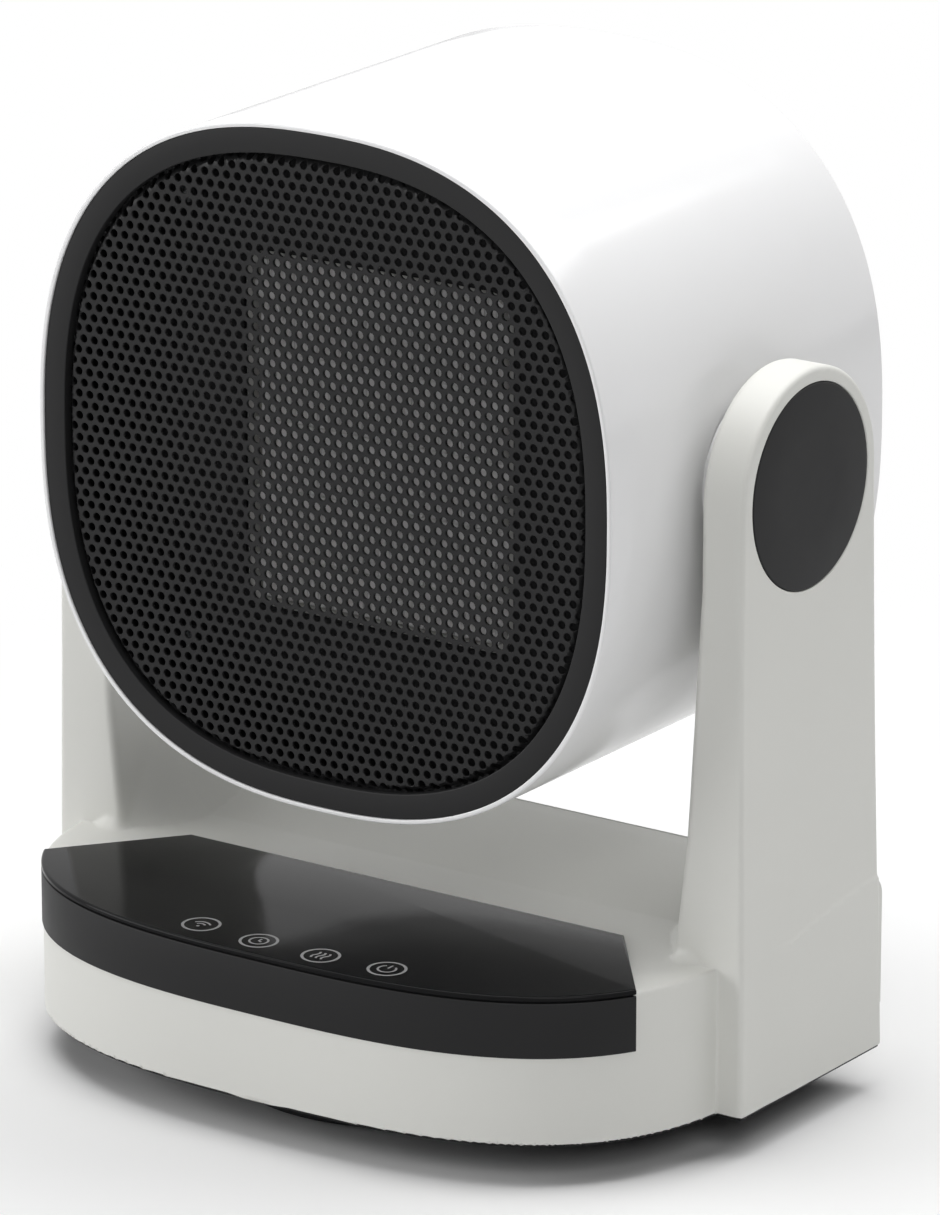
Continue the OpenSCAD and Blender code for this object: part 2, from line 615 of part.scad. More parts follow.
module trunnion() color(black) at_pivot() difference() {
  union() {
    x_tube(head_a - 12, flange_face, shaft_r - fit);
    x_tube(boss_face + 0.02, flange_face, flange_r);
    x_tube(flange_face - 0.5, shaft_end, shaft_r);
    translate([0, 0, stop_r]) x_tube(flange_face - 1, in_top + 1.8, peg_r);
  }
  x_tube(0, 200, 6.5);
  difference() {
    x_tube(shaft_end - 1.3, shaft_end - 0.3, 30);
    x_tube(shaft_end - 1.4, shaft_end, 11);
  }
  for (a = [60:120:300]) rotate([a, 0, 0]) translate([0, 0, 16.5]) {
    x_tube(0, 200, 1.4);
    x_tube(flange_face - 1.7, 200, 2.5);
  }
}
module trunnion_right() home() trunnion();
module trunnion_left() home() mirror([1, 0, 0]) trunnion();
module trunnion_screws() home() color(zinc) both() at_pivot()
  for (a = [60:120:300]) rotate([a, 0, 0])
    translate([flange_face - 1.7, 0, 16.5]) rotate([0, 90, 0]) screw(2.4, 9, 4.6);
module pivot_clips() home() color(steel) both() at_pivot() difference() {
  x_tube(shaft_end - 1.3, shaft_end - 0.3, 15);
  x_tube(shaft_end - 2, shaft_end, 11 + fit);
  translate([shaft_end - 2, -4, -20]) cube([3, 8, 14]);
}

// ---- Head shell ----
module head2d(inset = 0) polygon(squircle(head_a - inset, head_b - inset, head_n));
module barrel() home() color(gloss_white) at_pivot() difference() {
  union() {
    difference() {
      along_y(-head_front, head_rear) head2d();
      along_y(-head_front - 1, head_rear + 1) head2d(barrel_t);
      along_y(-head_front - 1, -head_front + 5.5) head2d(1.5);
      along_y(head_rear - 5.5, head_rear + 1) head2d(1.5);
    }
    both() {
      x_tube(head_a - 10, boss_face, flange_r - 1);
      x_tube(head_a - 2, boss_face, flange_r + 1.5);
    }
    // corner posts for the screws of the air guide and the rear cover
    corners() {
      y_tube(guide_front + 2.6, guide_front + 13, 4.4);
      y_tube(head_rear - 17, head_rear - 5.6, 4.4);
      for (y = [guide_front + 2.6, head_rear - 17]) translate([0, y, -1.2]) cube([11.2, 10.4, 2.4]);
    }
  }
  both() x_tube(0, 200, shaft_r);
  both() for (a = [60:120:300]) rotate([a, 0, 0]) translate([0, 0, 16.5]) x_tube(head_a - 9, 200, 1.25);
  corners() {
    y_tube(guide_front, guide_front + 11, 1.3);
    y_tube(head_rear - 15, head_rear, 1.3);
  }
}
// The four corners of the head, where its posts stand
module corners() for (a = [45:90:315]) rotate([0, a, 0]) translate([92.5, 0, 0]) children();
module front_bezel() home() color(dark) at_pivot() difference() {
  along_y(-head_front + 0.4, -head_front + 5.4) head2d(1.55);
  along_y(-head_front - 1, -head_front + 3.6) polygon(squircle(head_a - 9.6, head_b - 11.9, head_n));
  along_y(-head_front + 3.5, -head_front + 8) polygon(squircle(head_a - 6.4, head_b - 8.7, head_n));
}
// Round holes on a triangular grid, inside a squircle
module hole_field(p, a, b, d) {
  rows = ceil(b/(p*sqrt(3)/2));
  cols = ceil(a/p);
  for (j = [-rows:rows], i = [-cols:cols]) let(x = (i + (abs(j) % 2)/2)*p, z = j*p*sqrt(3)/2)
    if (pow(abs(x)/a, head_n) + pow(abs(z)/b, head_n) < 1) translate([x, z]) circle(d = d, $fn = 16);
}
module front_grille() home() color(black) at_pivot()
along_y(-head_front + 3.6, -head_front + 4.6) difference() {
  polygon(squircle(head_a - 6.5, head_b - 8.8, head_n));
  hole_field(mesh_pitch, head_a - 13, head_b - 15.4, mesh_hole);
}

// ---- Heating block and air path ----
lug_size = 3.4;
module lugs() for (a = [45:90:315]) rotate([0, a, 0]) translate([fan_r + 6.5, 0, 0]) children();
module window2d(grow = 0) rounded(ptc_w + 2*grow, ptc_h + 2*grow, 8 + grow);
module air_guide() home() color(black) at_pivot() difference() {
  union() {
    along_y(guide_front, guide_front + 2.5) head2d(barrel_t + gap);
    along_y(guide_front, duct_end + 2.5) window2d(2.6);
    along_y(duct_end, duct_end + 2.5) circle(72);
    along_y(duct_end, mount_y - 0.05) circle(fan_r + 5);
    lugs() y_tube(mount_y - 12, mount_y - 0.05, lug_size);
  }
  along_y(guide_front - 1, duct_end) window2d(0.1);
  along_y(duct_end - 0.1, mount_y + 10) circle(fan_r + 2.5);
  lugs() y_tube(mount_y - 10, mount_y + 1, 1.15);
  corners() y_tube(guide_front - 1, guide_front + 4, 1.6);
}
module guide_screws() home() color(zinc) at_pivot()
  corners() translate([0, guide_front - 0.05, 0]) rotate([90, 0, 0]) screw(2.5, 9, 5.4);
module ptc_frame() home() color([0.62, 0.62, 0.6]) at_pivot()
along_y(guide_front + 1, guide_front + 1 + ptc_t) difference() {
  window2d(-0.1);
  window2d(-ptc_rim);
}
ptc_rim = 2.2;                   // thickness of the frame round the tubes
tube_count = 5;
tube_pitch = (ptc_h - 2*ptc_rim)/tube_count;
tube_t = 5.2;
function tube_z(i) = (i - (tube_count - 1)/2)*tube_pitch;
module ptc_tubes() home() color(steel) at_pivot() for (i = [0:tube_count-1])
  along_y(guide_front + 2, guide_front + ptc_t)
    translate([0, tube_z(i)]) square([ptc_w - 2*ptc_rim - 0.2, tube_t], center = true);
// Folded fins between the tubes: a zigzag strip
module zigzag(w, h, folds, t) {
  step = w/folds;
  polygon(concat([for (i = [0:folds]) [-w/2 + i*step, (i % 2 == 0 ? -h/2 : h/2 - t)]],
                 [for (i = [folds:-1:0]) [-w/2 + i*step, (i % 2 == 0 ? -h/2 + t : h/2)]]));
}
module ptc_fins() home() color([0.78, 0.79, 0.8]) at_pivot()
along_y(guide_front + 3, guide_front + ptc_t - 1) {
  room = tube_pitch - tube_t;
  for (i = [0:tube_count-2]) translate([0, tube_z(i) + tube_pitch/2])
    zigzag(ptc_w - 2*ptc_rim - 1.6, room - 0.2, 42, 1.4);
  for (s = [-1, 1]) translate([0, s*(tube_z(tube_count - 1) + tube_t/2 + room/4)])
    zigzag(ptc_w - 2*ptc_rim - 11, room/2 - 0.2, 38, 1.2);
}
module thermal_cutout() home() color(black) at_pivot() translate([0, guide_front + 2.6, ptc_h/2 + 15]) {
  rotate([-90, 0, 0]) cylinder(h = 7, r = 8);
  translate([-12, 0, -3]) cube([24, 1, 6]);
  for (s = [-1, 1]) translate([s*4 - 2, 7, -0.4]) cube([4, 8, 0.8]);
}
module thermal_fuse() home() color([0.85, 0.8, 0.6]) at_pivot()
translate([-34, guide_front + 6.6, ptc_h/2 + 12]) rotate([0, 90, 0]) {
  cylinder(h = 14, r = 2.2);
  translate([0, 0, -8]) cylinder(h = 30, r = 0.5, $fn = 16);
}

// ---- Fan ----
module fan_rotor() home() color([0.2, 0.2, 0.21]) at_pivot() {
  difference() {
    y_tube(fan_front, fan_front + fan_t, 17);
    y_tube(fan_front + 2.5, fan_front + fan_t + 1, 15);
    y_tube(fan_front - 1, fan_front + 9, 2.5);
  }
  difference() {
    y_tube(fan_front + 2, fan_front + fan_t - 2, 5.5);
    y_tube(fan_front - 1, fan_front + fan_t + 1, 2.5);
  }
  // each blade is a piece of a thin tube that lies along its radius, so that it is cambered
  for (i = [0:blades-1]) rotate([0, 360*i/blades, 0]) intersection() {
    difference() {
      y_tube(fan_front + 1, fan_front + fan_t - 1, fan_r);
      y_tube(fan_front, fan_front + fan_t, 16.5);
    }
    translate([-15, fan_front + fan_t/2 + 29, 16]) difference() {
      cylinder(h = fan_r, r = 34);
      translate([0, 0, -1]) cylinder(h = fan_r + 2, r = 32.4);
      translate([-60, -60, -2]) cube([61, 120, 90]);
      translate([-60, -14, -2]) cube([120, 80, 90]);
    }
  }
}
module motor_shaft() home() color(steel) at_pivot() y_tube(fan_front - 4, mount_y + motor_len - 4, 2.48);
module fan_nut() home() color(zinc) at_pivot() difference() {
  translate([0, fan_front - 0.05, 0]) rotate([90, 0, 0]) cylinder(h = 3, r = 5, $fn = 6);
  y_tube(fan_front - 5, fan_front + 5, 2.5);
}
module fan_motor() home() color(zinc) at_pivot() difference() {
  union() {
    y_tube(mount_y + 3.05, mount_y + motor_len, 24);
    y_tube(mount_y - 1, mount_y + 4, 7);
  }
  y_tube(mount_y - 2, mount_y + motor_len - 3, 2.48 + fit);
  for (i = [0:3]) rotate([0, 90*i, 0]) translate([16, 0, 0]) y_tube(mount_y + 3, mount_y + 9, 1.35);
}
module motor_mount() home() color(black) at_pivot() difference() {
  union() {
    along_y(mount_y, mount_y + 3) {
      circle(26);
      ring(fan_r + 1.5, fan_r + 4.9);
      for (i = [0:3]) rotate(45 + 90*i) {
        translate([0, -4]) square([fan_r + 3, 8]);
        translate([fan_r + 6.5, 0]) circle(lug_size);
      }
    }
    along_y(mount_y + 3, mount_y + 12) ring(24.1, 26);
  }
  y_tube(mount_y - 1, mount_y + 5, 7.1);
  for (i = [0:3]) rotate([0, 90*i, 0]) translate([16, 0, 0]) y_tube(mount_y - 1, mount_y + 5, 1.5);
  lugs() y_tube(mount_y - 1, mount_y + 5, 1.3);
}
module motor_screws() home() color(steel) at_pivot()
  for (i = [0:3]) rotate([0, 90*i, 0])
    translate([16, mount_y - 0.05, 0]) rotate([90, 0, 0]) screw(2.6, 7, 5);
module mount_screws() home() color(zinc) at_pivot()
  lugs() translate([0, mount_y + 3.05, 0]) rotate([-90, 0, 0]) screw(2.2, 9, 5);
module rear_cover() home() color(dark) at_pivot() difference() {
  union() {
    along_y(head_rear - 3, head_rear - 0.5) head2d(1.55);
    along_y(head_rear - 5.4, head_rear - 2) difference() {
      head2d(1.55);
      head2d(3.2);
    }
    corners() y_tube(head_rear - 5.4, head_rear - 1, 4.4);
  }
  // rings of air slots, parted by spokes
  along_y(head_rear - 4, head_rear + 1) for (k = [0:9]) let(r = 18 + k*6.8) difference() {
    ring(r, r + 3.8);
    for (a = [0:45:135]) rotate(a + 22.5) square([400, 4 + k*0.25], center = true);
  }
  corners() {
    y_tube(head_rear - 10, head_rear + 1, 1.6);
    y_tube(head_rear - 2.2, head_rear + 1, 3.2);
  }
}
module rear_screws() home() color(zinc) at_pivot()
  corners() translate([0, head_rear - 2.2, 0]) rotate([-90, 0, 0]) screw(2.5, 11, 5.8);

foot_plate();
foot_pads();
glide_ring();
spindle();
spindle_screws();
swivel_gear();
gear_retainer();
gear_screws();
base_shell();
arm_cover_left();
arm_cover_right();
bottom_cover();
bottom_screws();
rear_panel();
rear_panel_screws();
cord_gland();
terminal_block();
panel_housing();
panel_screws();
touch_lens();
touch_board();
touch_springs();
touch_screws();
main_board();
board_parts();
board_screws();
tilt_switch();
swivel_motor();
swivel_motor_screws();
motor_pinion();
pivot_bush_left();
pivot_bush_right();
friction_washers();
pivot_cap_left();
pivot_cap_right();
barrel();
front_bezel();
front_grille();
air_guide();
guide_screws();
ptc_frame();
ptc_tubes();
ptc_fins();
thermal_cutout();
thermal_fuse();
trunnion_left();
trunnion_right();
trunnion_screws();
pivot_clips();
fan_motor();
motor_mount();
motor_screws();
mount_screws();
rear_cover();
rear_screws();
fan_rotor();
motor_shaft();
fan_nut();
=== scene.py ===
# %% [markdown]
# # A ceramic space heater
# A rounded-square head holds a fan and a ceramic heating block. It tilts between two arms, and the
# arms rise from a base that turns on a round foot. The CAD model brings the sizes, the pieces and the
# joints, and none of its pieces is moved here. This file adds what the eye looks for: soft edges,
# the fine mesh of the front, satin and glossy plastics, and plain studio light.

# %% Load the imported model
import json
import math

import bpy
import numpy as np
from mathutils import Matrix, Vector


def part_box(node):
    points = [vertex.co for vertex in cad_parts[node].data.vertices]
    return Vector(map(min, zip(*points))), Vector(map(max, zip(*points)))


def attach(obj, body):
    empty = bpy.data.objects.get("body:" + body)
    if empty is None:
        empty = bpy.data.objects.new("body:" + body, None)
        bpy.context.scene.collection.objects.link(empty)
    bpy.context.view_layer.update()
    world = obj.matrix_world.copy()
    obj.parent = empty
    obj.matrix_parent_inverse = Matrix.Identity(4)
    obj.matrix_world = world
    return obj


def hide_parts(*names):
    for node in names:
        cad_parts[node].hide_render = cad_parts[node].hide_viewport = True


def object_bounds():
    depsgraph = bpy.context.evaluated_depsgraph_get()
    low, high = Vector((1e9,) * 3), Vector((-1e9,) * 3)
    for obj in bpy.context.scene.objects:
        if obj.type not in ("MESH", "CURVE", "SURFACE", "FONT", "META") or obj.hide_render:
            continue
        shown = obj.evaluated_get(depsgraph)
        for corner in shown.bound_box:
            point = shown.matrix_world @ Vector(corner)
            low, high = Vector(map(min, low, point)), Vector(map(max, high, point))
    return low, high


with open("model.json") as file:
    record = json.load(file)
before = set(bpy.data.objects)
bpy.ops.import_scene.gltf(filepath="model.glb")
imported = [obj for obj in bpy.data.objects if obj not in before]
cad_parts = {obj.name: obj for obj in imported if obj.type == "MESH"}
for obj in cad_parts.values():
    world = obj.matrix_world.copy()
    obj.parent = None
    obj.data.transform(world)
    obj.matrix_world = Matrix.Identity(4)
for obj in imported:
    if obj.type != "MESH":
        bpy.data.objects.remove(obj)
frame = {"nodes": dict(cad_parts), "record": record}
cad_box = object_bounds()
size = (cad_box[1] - cad_box[0]) * 1000
print(f"{len(frame['nodes'])} CAD nodes, {size.x:.1f} x {size.y:.1f} x {size.z:.1f} mm")

# %% [markdown]
# ## Measures
# New pieces are drawn in millimetres, round the axis on which the base turns, because that is how the
# heater is laid out. One helper moves them to the CAD frame, which is in metres. The sizes are those
# of the CAD model, and where a CAD node's box gives a size, it is read from there.

# %% Sizes of the heater, in millimetres
AXIS_Y = -12.0  # the turning axis, in the CAD frame


def node_box(node):
    """Lowest and highest corner of a CAD node, in millimetres round the turning axis."""
    low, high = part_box(node)
    shift = np.array([0, AXIS_Y, 0])
    return np.array(low) * 1000 - shift, np.array(high) * 1000 - shift


def to_frame(points):
    """Points in millimetres round the turning axis, as points of the CAD frame."""
    return (np.asarray(points, float) + [0, AXIS_Y, 0]) / 1000


barrel_low, barrel_high = node_box("barrel")
shell_low, shell_high = node_box("base_shell")
panel_high = node_box("touch_lens")[1]
rear_high = node_box("rear_panel")[1]
bezel_low, bezel_high = node_box("front_bezel")
cap_low, cap_high = node_box("pivot_cap_right")

WALL = 2.5
BASE_Z = 12.0
SEAM_Z = shell_low[2]
BASE_HALF = shell_high[0]
FRONT_Z = BASE_Z + 43.8
REAR_Z = rear_high[2]
ARM_Y = -8.0
REAR_Y = shell_high[1]
PIVOT = np.array([0.0, 27.0, (cap_low[2] + cap_high[2]) / 2])
ARM_R = shell_high[2] - PIVOT[2]
OUT_TOP = BASE_HALF - 2
IN_TOP = OUT_TOP - 14.4
IN_LOW = IN_TOP - 3.3
CAP_R = (cap_high[2] - cap_low[2]) / 2
SADDLE_R = 35.9
HEAD_B = (barrel_high[2] - barrel_low[2]) / 2
HEAD_A = HEAD_B - 1.3
HEAD_N = 2.46
HEAD_FRONT = barrel_low[1]
HEAD_REAR = barrel_high[1]
PANEL_Z = panel_high[2]
BAND_Z = PANEL_Z - 18.4
print(f"pivot at {PIVOT}, head {2 * HEAD_A:.1f} x {2 * HEAD_B:.1f} mm, arm radius {ARM_R:.1f} mm")

# %% [markdown]
# ## The camera
# A product picture is taken from far away with a long lens, so that upright edges stay upright. The
# camera looks a little down and from the heater's right, at a point just in front of its middle.

# %% Camera
TARGET = Vector((0, 0.01987, 0.13089))
AZIMUTH, ELEVATION = math.radians(34.72), math.radians(17.6)
view_from = Vector((math.sin(AZIMUTH) * math.cos(ELEVATION),
                    -math.cos(AZIMUTH) * math.cos(ELEVATION), math.sin(ELEVATION)))
camera = bpy.data.objects.new("camera", bpy.data.cameras.new("camera"))
bpy.context.collection.objects.link(camera)
camera.data.lens = 240.06
camera.data.sensor_width = 36
camera.location = TARGET + 2.32396 * view_from
camera.rotation_mode = "QUATERNION"
camera.rotation_quaternion = (-view_from).to_track_quat("-Z", "Y")
bpy.context.scene.camera = camera
print("camera at", [round(v, 4) for v in camera.location])

# %% [markdown]
# ## Materials as expressions
# A material is a small calculation: noise, a threshold, a mix. Written as Python expressions it stays
# short to read. The class below wraps a socket, and each operator adds the Math node for it. The same
# class has one method for every other kind of node.

# %% Sockets that take part in arithmetic
class Link:
    """A socket of a material's node tree. Arithmetic on it adds Math nodes."""

    def __init__(self, tree, socket):
        self.tree = tree
        self.socket = socket

    def node(self, kind, settings=None, out=0, **sockets):
        """Adds a node: its type, its settings, which output is meant, then its sockets by name or number."""
        made = self.tree.nodes.new(kind)
        for name, value in (settings or {}).items():
            if name == "stops":
                ramp = made.color_ramp
                for place, colour in value[len(ramp.elements):]:
                    ramp.elements.new(place)
                for stop, (place, colour) in zip(ramp.elements, value):
                    stop.position = place
                    stop.color = colour
            else:
                setattr(made, name, value)
        for name, value in sockets.items():
            key = int(name[1:]) if name[0] == "i" and name[1:].isdigit() else name.replace("_", " ")
            feed(self.tree, made.inputs[key], value)
        return Link(self.tree, made.outputs[out])

    def math(self, operation, a, b=0.0):
        return self.node("ShaderNodeMath", {"operation": operation}, i0=a, i1=b)

    def __add__(self, other):
        return self.math("ADD", self, other)

    __radd__ = __add__

    def __sub__(self, other):
        return self.math("SUBTRACT", self, other)

    def __rsub__(self, other):
        return self.math("SUBTRACT", other, self)

    def __mul__(self, other):
        return self.math("MULTIPLY", self, other)

    __rmul__ = __mul__

    def __truediv__(self, other):
        return self.math("DIVIDE", self, other)

    def __rtruediv__(self, other):
        return self.math("DIVIDE", other, self)

    def band(self, low, high):
        """0 below low, 1 above high, and a smooth rise between."""
        return self.node("ShaderNodeMapRange", {"interpolation_type": "SMOOTHSTEP"},
                         Value=self, From_Min=low, From_Max=high)

    def mix(self, first, second):
        """A colour from first, where this is 0, to second, where it is 1."""
        made = self.node("ShaderNodeMix", {"data_type": "RGBA"}, out=2, i0=self, i6=first, i7=second)
        return made


def feed(tree, socket, value):
    """Sets a socket to a number or colour, or links it."""
    if isinstance(value, Link):
        tree.links.new(value.socket, socket)
    elif hasattr(socket.default_value, "__len__"):
        value = tuple(value)
        socket.default_value = value + (1,) * (len(socket.default_value) - len(value))
    else:
        socket.default_value = value


print("sockets add, subtract, multiply and divide")

# %% [markdown]
# ## Moulded plastic
# Nearly every visible piece is injection-moulded plastic. Up close such a surface has a very fine
# grain from the mould, a slight unevenness in how shiny it is, and a hardly visible change of shade.
# All three come from noise at the right scale. The bump is tiny, because a strong one would look
# like orange peel. Pieces that keep their CAD shape have sharp edges, so their normals go through a
# Bevel node, which makes each edge catch the light as a real moulded edge does.

# %% The plastic recipe
MATERIALS = {}


def finish_of(name, colour, rough, grain=0.35, grain_depth=0.00001, shade=0.02, rough_spread=0.04,
              metal=0.0, coat=0.0, edge=0.0, specular=0.5):
    """A material: its colour, roughness, size of grain in millimetres, and how much each varies."""
    material = bpy.data.materials.new(name)
    material.use_nodes = True
    tree = material.node_tree
    shader = tree.nodes["Principled BSDF"]
    start = Link(tree, None)
    place = start.node("ShaderNodeTexCoord", out=3)
    cloud = start.node("ShaderNodeTexNoise", Vector=place, Scale=22.0, Detail=3.0)
    smear = start.node("ShaderNodeTexNoise", Vector=place, Scale=160.0, Detail=4.0)
    fine = start.node("ShaderNodeTexNoise", Vector=place, Scale=1000.0 / grain, Detail=2.0)
    dark = tuple(c * (1 - shade) for c in colour)
    light = tuple(min(1.0, c * (1 + shade)) for c in colour)
    feed(tree, shader.inputs["Base Color"], cloud.mix(dark, light))
    feed(tree, shader.inputs["Roughness"], (smear - 0.5) * (2 * rough_spread) + rough)
    bump = {"Strength": 1.0, "Distance": grain_depth, "Height": fine}
    if edge:
        bump["Normal"] = start.node("ShaderNodeBevel", {"samples": 4}, Radius=edge / 1000)
    feed(tree, shader.inputs["Normal"], start.node("ShaderNodeBump", **bump))
    shader.inputs["Metallic"].default_value = metal
    shader.inputs["Coat Weight"].default_value = coat
    shader.inputs["Coat Roughness"].default_value = 0.04
    shader.inputs["Specular IOR Level"].default_value = specular
    MATERIALS[name] = material
    return material


WHITE = (0.74, 0.74, 0.705)
GLOSS_WHITE = (0.86, 0.86, 0.865)
DARK = (0.013, 0.013, 0.0135)
finish_of("case_white", WHITE, 0.42, specular=0.35)
finish_of("case_white_edged", WHITE, 0.42, specular=0.35, edge=0.5)
finish_of("barrel_white", GLOSS_WHITE, 0.16, grain_depth=0.000002)
finish_of("dark_trim", DARK, 0.5, shade=0.06, specular=0.2)
finish_of("dark_trim_edged", DARK, 0.5, shade=0.06, specular=0.2, edge=0.4)
finish_of("under_black", (0.010, 0.010, 0.011), 0.5, shade=0.08, specular=0.2, edge=0.4)
finish_of("touch_glass", (0.006, 0.006, 0.0065), 0.12, grain_depth=0.000001, specular=0.09, shade=0.05)
finish_of("mesh_black", (0.0125, 0.0125, 0.013), 0.42, grain=0.25, shade=0.05, specular=0.2)
finish_of("rubber_black", (0.015, 0.015, 0.015), 0.8, grain=0.5, shade=0.1, edge=0.3)
finish_of("nylon_cream", (0.62, 0.58, 0.47), 0.35, edge=0.2)
finish_of("zinc_steel", (0.42, 0.43, 0.44), 0.32, metal=1.0, grain=0.2, edge=0.1)
finish_of("circuit_green", (0.012, 0.085, 0.035), 0.3, coat=0.4, edge=0.1)
finish_of("parts_dark", (0.03, 0.03, 0.035), 0.45, edge=0.3)
finish_of("heater_frame", (0.62, 0.62, 0.60), 0.6, edge=0.3, shade=0.06)
finish_of("fin_aluminium", (0.98, 0.98, 0.98), 0.55, metal=0.0, grain=0.3)
finish_of("fan_plastic", (0.05, 0.05, 0.052), 0.4, edge=0.5)
print(f"{len(MATERIALS)} materials")

# %% Each CAD node takes the material of its slot
subparts = frame["record"]["subparts"]
slots = {part["node"]: part["material_slot"] for part in subparts}
for node, thing in frame["nodes"].items():
    name = slots[node]
    name = name + "_edged" if name + "_edged" in MATERIALS else name
    for place in thing.material_slots:
        place.material = MATERIALS[name]
print(f"{len(slots)} nodes have their finish")

# %% [markdown]
# ## Making a mesh
# Each new piece is built from points and faces. One helper turns them into an object, gives it its
# material, says which body it moves with and hides the CAD nodes it stands for. Normals that are
# known exactly can be handed over, so that a coarse mesh still shades like the true surface.

# %% From points to a piece
def make_piece(name, points, faces, finish, body, instead=(), normals=None, sharp=None):
    """Makes a piece from points in millimetres, ties it to a body and hides the CAD nodes it stands for."""
    mesh = bpy.data.meshes.new(name)
    mesh.from_pydata([tuple(p) for p in to_frame(points)], [], [tuple(int(i) for i in f) for f in faces])
    mesh.validate()
    mesh.materials.append(MATERIALS[finish])
    mesh.shade_smooth()
    piece = bpy.data.objects.new(name, mesh)
    bpy.context.collection.objects.link(piece)
    if normals is not None:
        mesh.normals_split_custom_set_from_vertices([tuple(n) for n in normals])
    elif sharp is not None:
        mesh.set_sharp_from_angle(angle=math.radians(sharp))
    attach(piece, body)
    if instead:
        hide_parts(*instead)
    print(f"{name}: {len(mesh.vertices)} points, {len(mesh.polygons)} faces")
    return piece


def squircle(a, b, steps=288):
    """A rounded square: points of a superellipse in the head's own plane, anticlockwise from +X."""
    t = np.linspace(0, 2 * math.pi, steps, endpoint=False)
    c, s = np.cos(t), np.sin(t)
    power = 2 / HEAD_N
    return np.stack([np.sign(c) * a * np.abs(c) ** power, np.sign(s) * b * np.abs(s) ** power], 1)


def arc(cx, cy, r, first, last, steps=5):
    """Points along a circular arc, with angles in degrees."""
    t = np.radians(np.linspace(first, last, steps))
    return np.stack([cx + r * np.cos(t), cy + r * np.sin(t)], 1)


def rings_to_faces(rings, steps, closed):
    """Quads between rings of points that follow one another."""
    faces = []
    for k in range(rings if closed else rings - 1):
        first, second = k * steps, (k + 1) % rings * steps
        for i in range(steps):
            j = (i + 1) % steps
            faces.append((first + i, first + j, second + j, second + i))
    return faces


def fade(value, low, high):
    """0 below low and 1 above high, smooth between."""
    t = np.clip((value - low) / (high - low), 0, 1)
    return t * t * (3 - 2 * t)


print("helpers ready")

# %% [markdown]
# ## The barrel of the head
# The head's outer shell is a short tube with a rounded-square section, moulded in glossy white. What
# shows from the front is a thin bright rim. Its section is drawn once, as a closed line of
# distances inwards and backwards, and swept round the outline. Both rims have small rounded edges.

# %% Barrel
def sweep_head(profile, outline=None):
    """Sweeps a closed line of (distance inwards, y) round the head's outline."""
    outline = outline or (lambda inset: squircle(HEAD_A - inset, HEAD_B - inset))
    points = []
    for inset, y in profile:
        ring = outline(inset)
        points.append(np.stack([ring[:, 0], np.full(len(ring), y), PIVOT[2] + ring[:, 1]], 1))
    steps = len(points[0])
    return np.concatenate(points), rings_to_faces(len(points), steps, True)


RIM = 1.35  # thickness of the rim in front of the bezel's seat
barrel_profile = np.concatenate([
    arc(0.6, HEAD_FRONT + 0.6, 0.6, 180, 270),
    arc(RIM - 0.25, HEAD_FRONT + 0.25, 0.25, 270, 360),
    [[RIM, HEAD_FRONT + 5.5], [WALL, HEAD_FRONT + 5.6]],
    [[WALL, HEAD_REAR - 5.6], [RIM, HEAD_REAR - 5.5]],
    arc(RIM - 0.25, HEAD_REAR - 0.25, 0.25, 0, 90),
    arc(0.9, HEAD_REAR - 0.9, 0.9, 90, 180),
    [[0, HEAD_REAR - 20], [0, (HEAD_FRONT + HEAD_REAR) / 2], [0, HEAD_FRONT + 20]],
])
points, faces = sweep_head(barrel_profile)

BOSS_X = HEAD_A + 0.8


def lathe_x(profile, steps=96):
    """Turns an open line of (x, radius) round the tilt axis."""
    t = np.linspace(0, 2 * math.pi, steps, endpoint=False)
    rings = [np.stack([np.full(steps, x), PIVOT[1] + r * np.cos(t), PIVOT[2] + r * np.sin(t)], 1)
             for x, r in profile]
    return np.concatenate(rings), rings_to_faces(len(rings), steps, False)


def mirrored(points, faces):
    """The same piece on the other side, with its faces turned the right way round."""
    return points * [-1, 1, 1], [tuple(reversed(f)) for f in faces]


def joined(*parts):
    """Several meshes as one."""
    all_points, all_faces, count = [], [], 0
    for points, faces in parts:
        all_points.append(points)
        all_faces += [tuple(i + count for i in f) for f in faces]
        count += len(points)
    return np.concatenate(all_points), all_faces


boss_profile = [[BOSS_X - 0.9, 23.6], [BOSS_X - 0.35, 23.5]]
boss_profile += [[x, r] for r, x in arc(23.1, BOSS_X - 0.35, 0.35, 0, 90)]
boss_profile += [[BOSS_X, 12.2], [BOSS_X - 10, 12.2], [BOSS_X - 10, 22]]
boss = lathe_x(boss_profile)
make_piece("barrel_skin", *joined((points, faces), boss, mirrored(*boss)), "barrel_white",
           "head", ["barrel"], sharp=40)

# %% [markdown]
# ## The bezel
# A flat dark ring sits inside the rim and covers the edge of the mesh. It is equally wide all round,
# so its outlines are true offsets of the barrel's: each point moves straight inwards. A rounded square
# with smaller half sizes would be too narrow at the corners.

# %% Bezel
BEZEL_Y = bezel_low[1]
MESH_Y = HEAD_FRONT + 3.6
OPENING = 8.7


def inwards(inset):
    """The head's outline, moved straight inwards."""
    ring = squircle(HEAD_A, HEAD_B)
    way = np.sign(ring) * np.abs(ring / [HEAD_A, HEAD_B]) ** (HEAD_N - 1) / [HEAD_A, HEAD_B]
    return ring - way * (inset / np.linalg.norm(way, axis=1))[:, None]


bezel_profile = np.concatenate([
    arc(RIM + 0.55, BEZEL_Y + 0.5, 0.5, 180, 270),
    [[(RIM + OPENING) / 2, BEZEL_Y]],
    arc(OPENING - 0.35, BEZEL_Y + 0.35, 0.35, 270, 360),
    [[OPENING, MESH_Y - 0.05], [4.7, MESH_Y - 0.05], [4.7, bezel_high[1]], [RIM + 0.05, bezel_high[1]]],
])
make_piece("bezel_ring", *sweep_head(bezel_profile, inwards), "dark_trim", "head",
           ["front_bezel"], sharp=40)
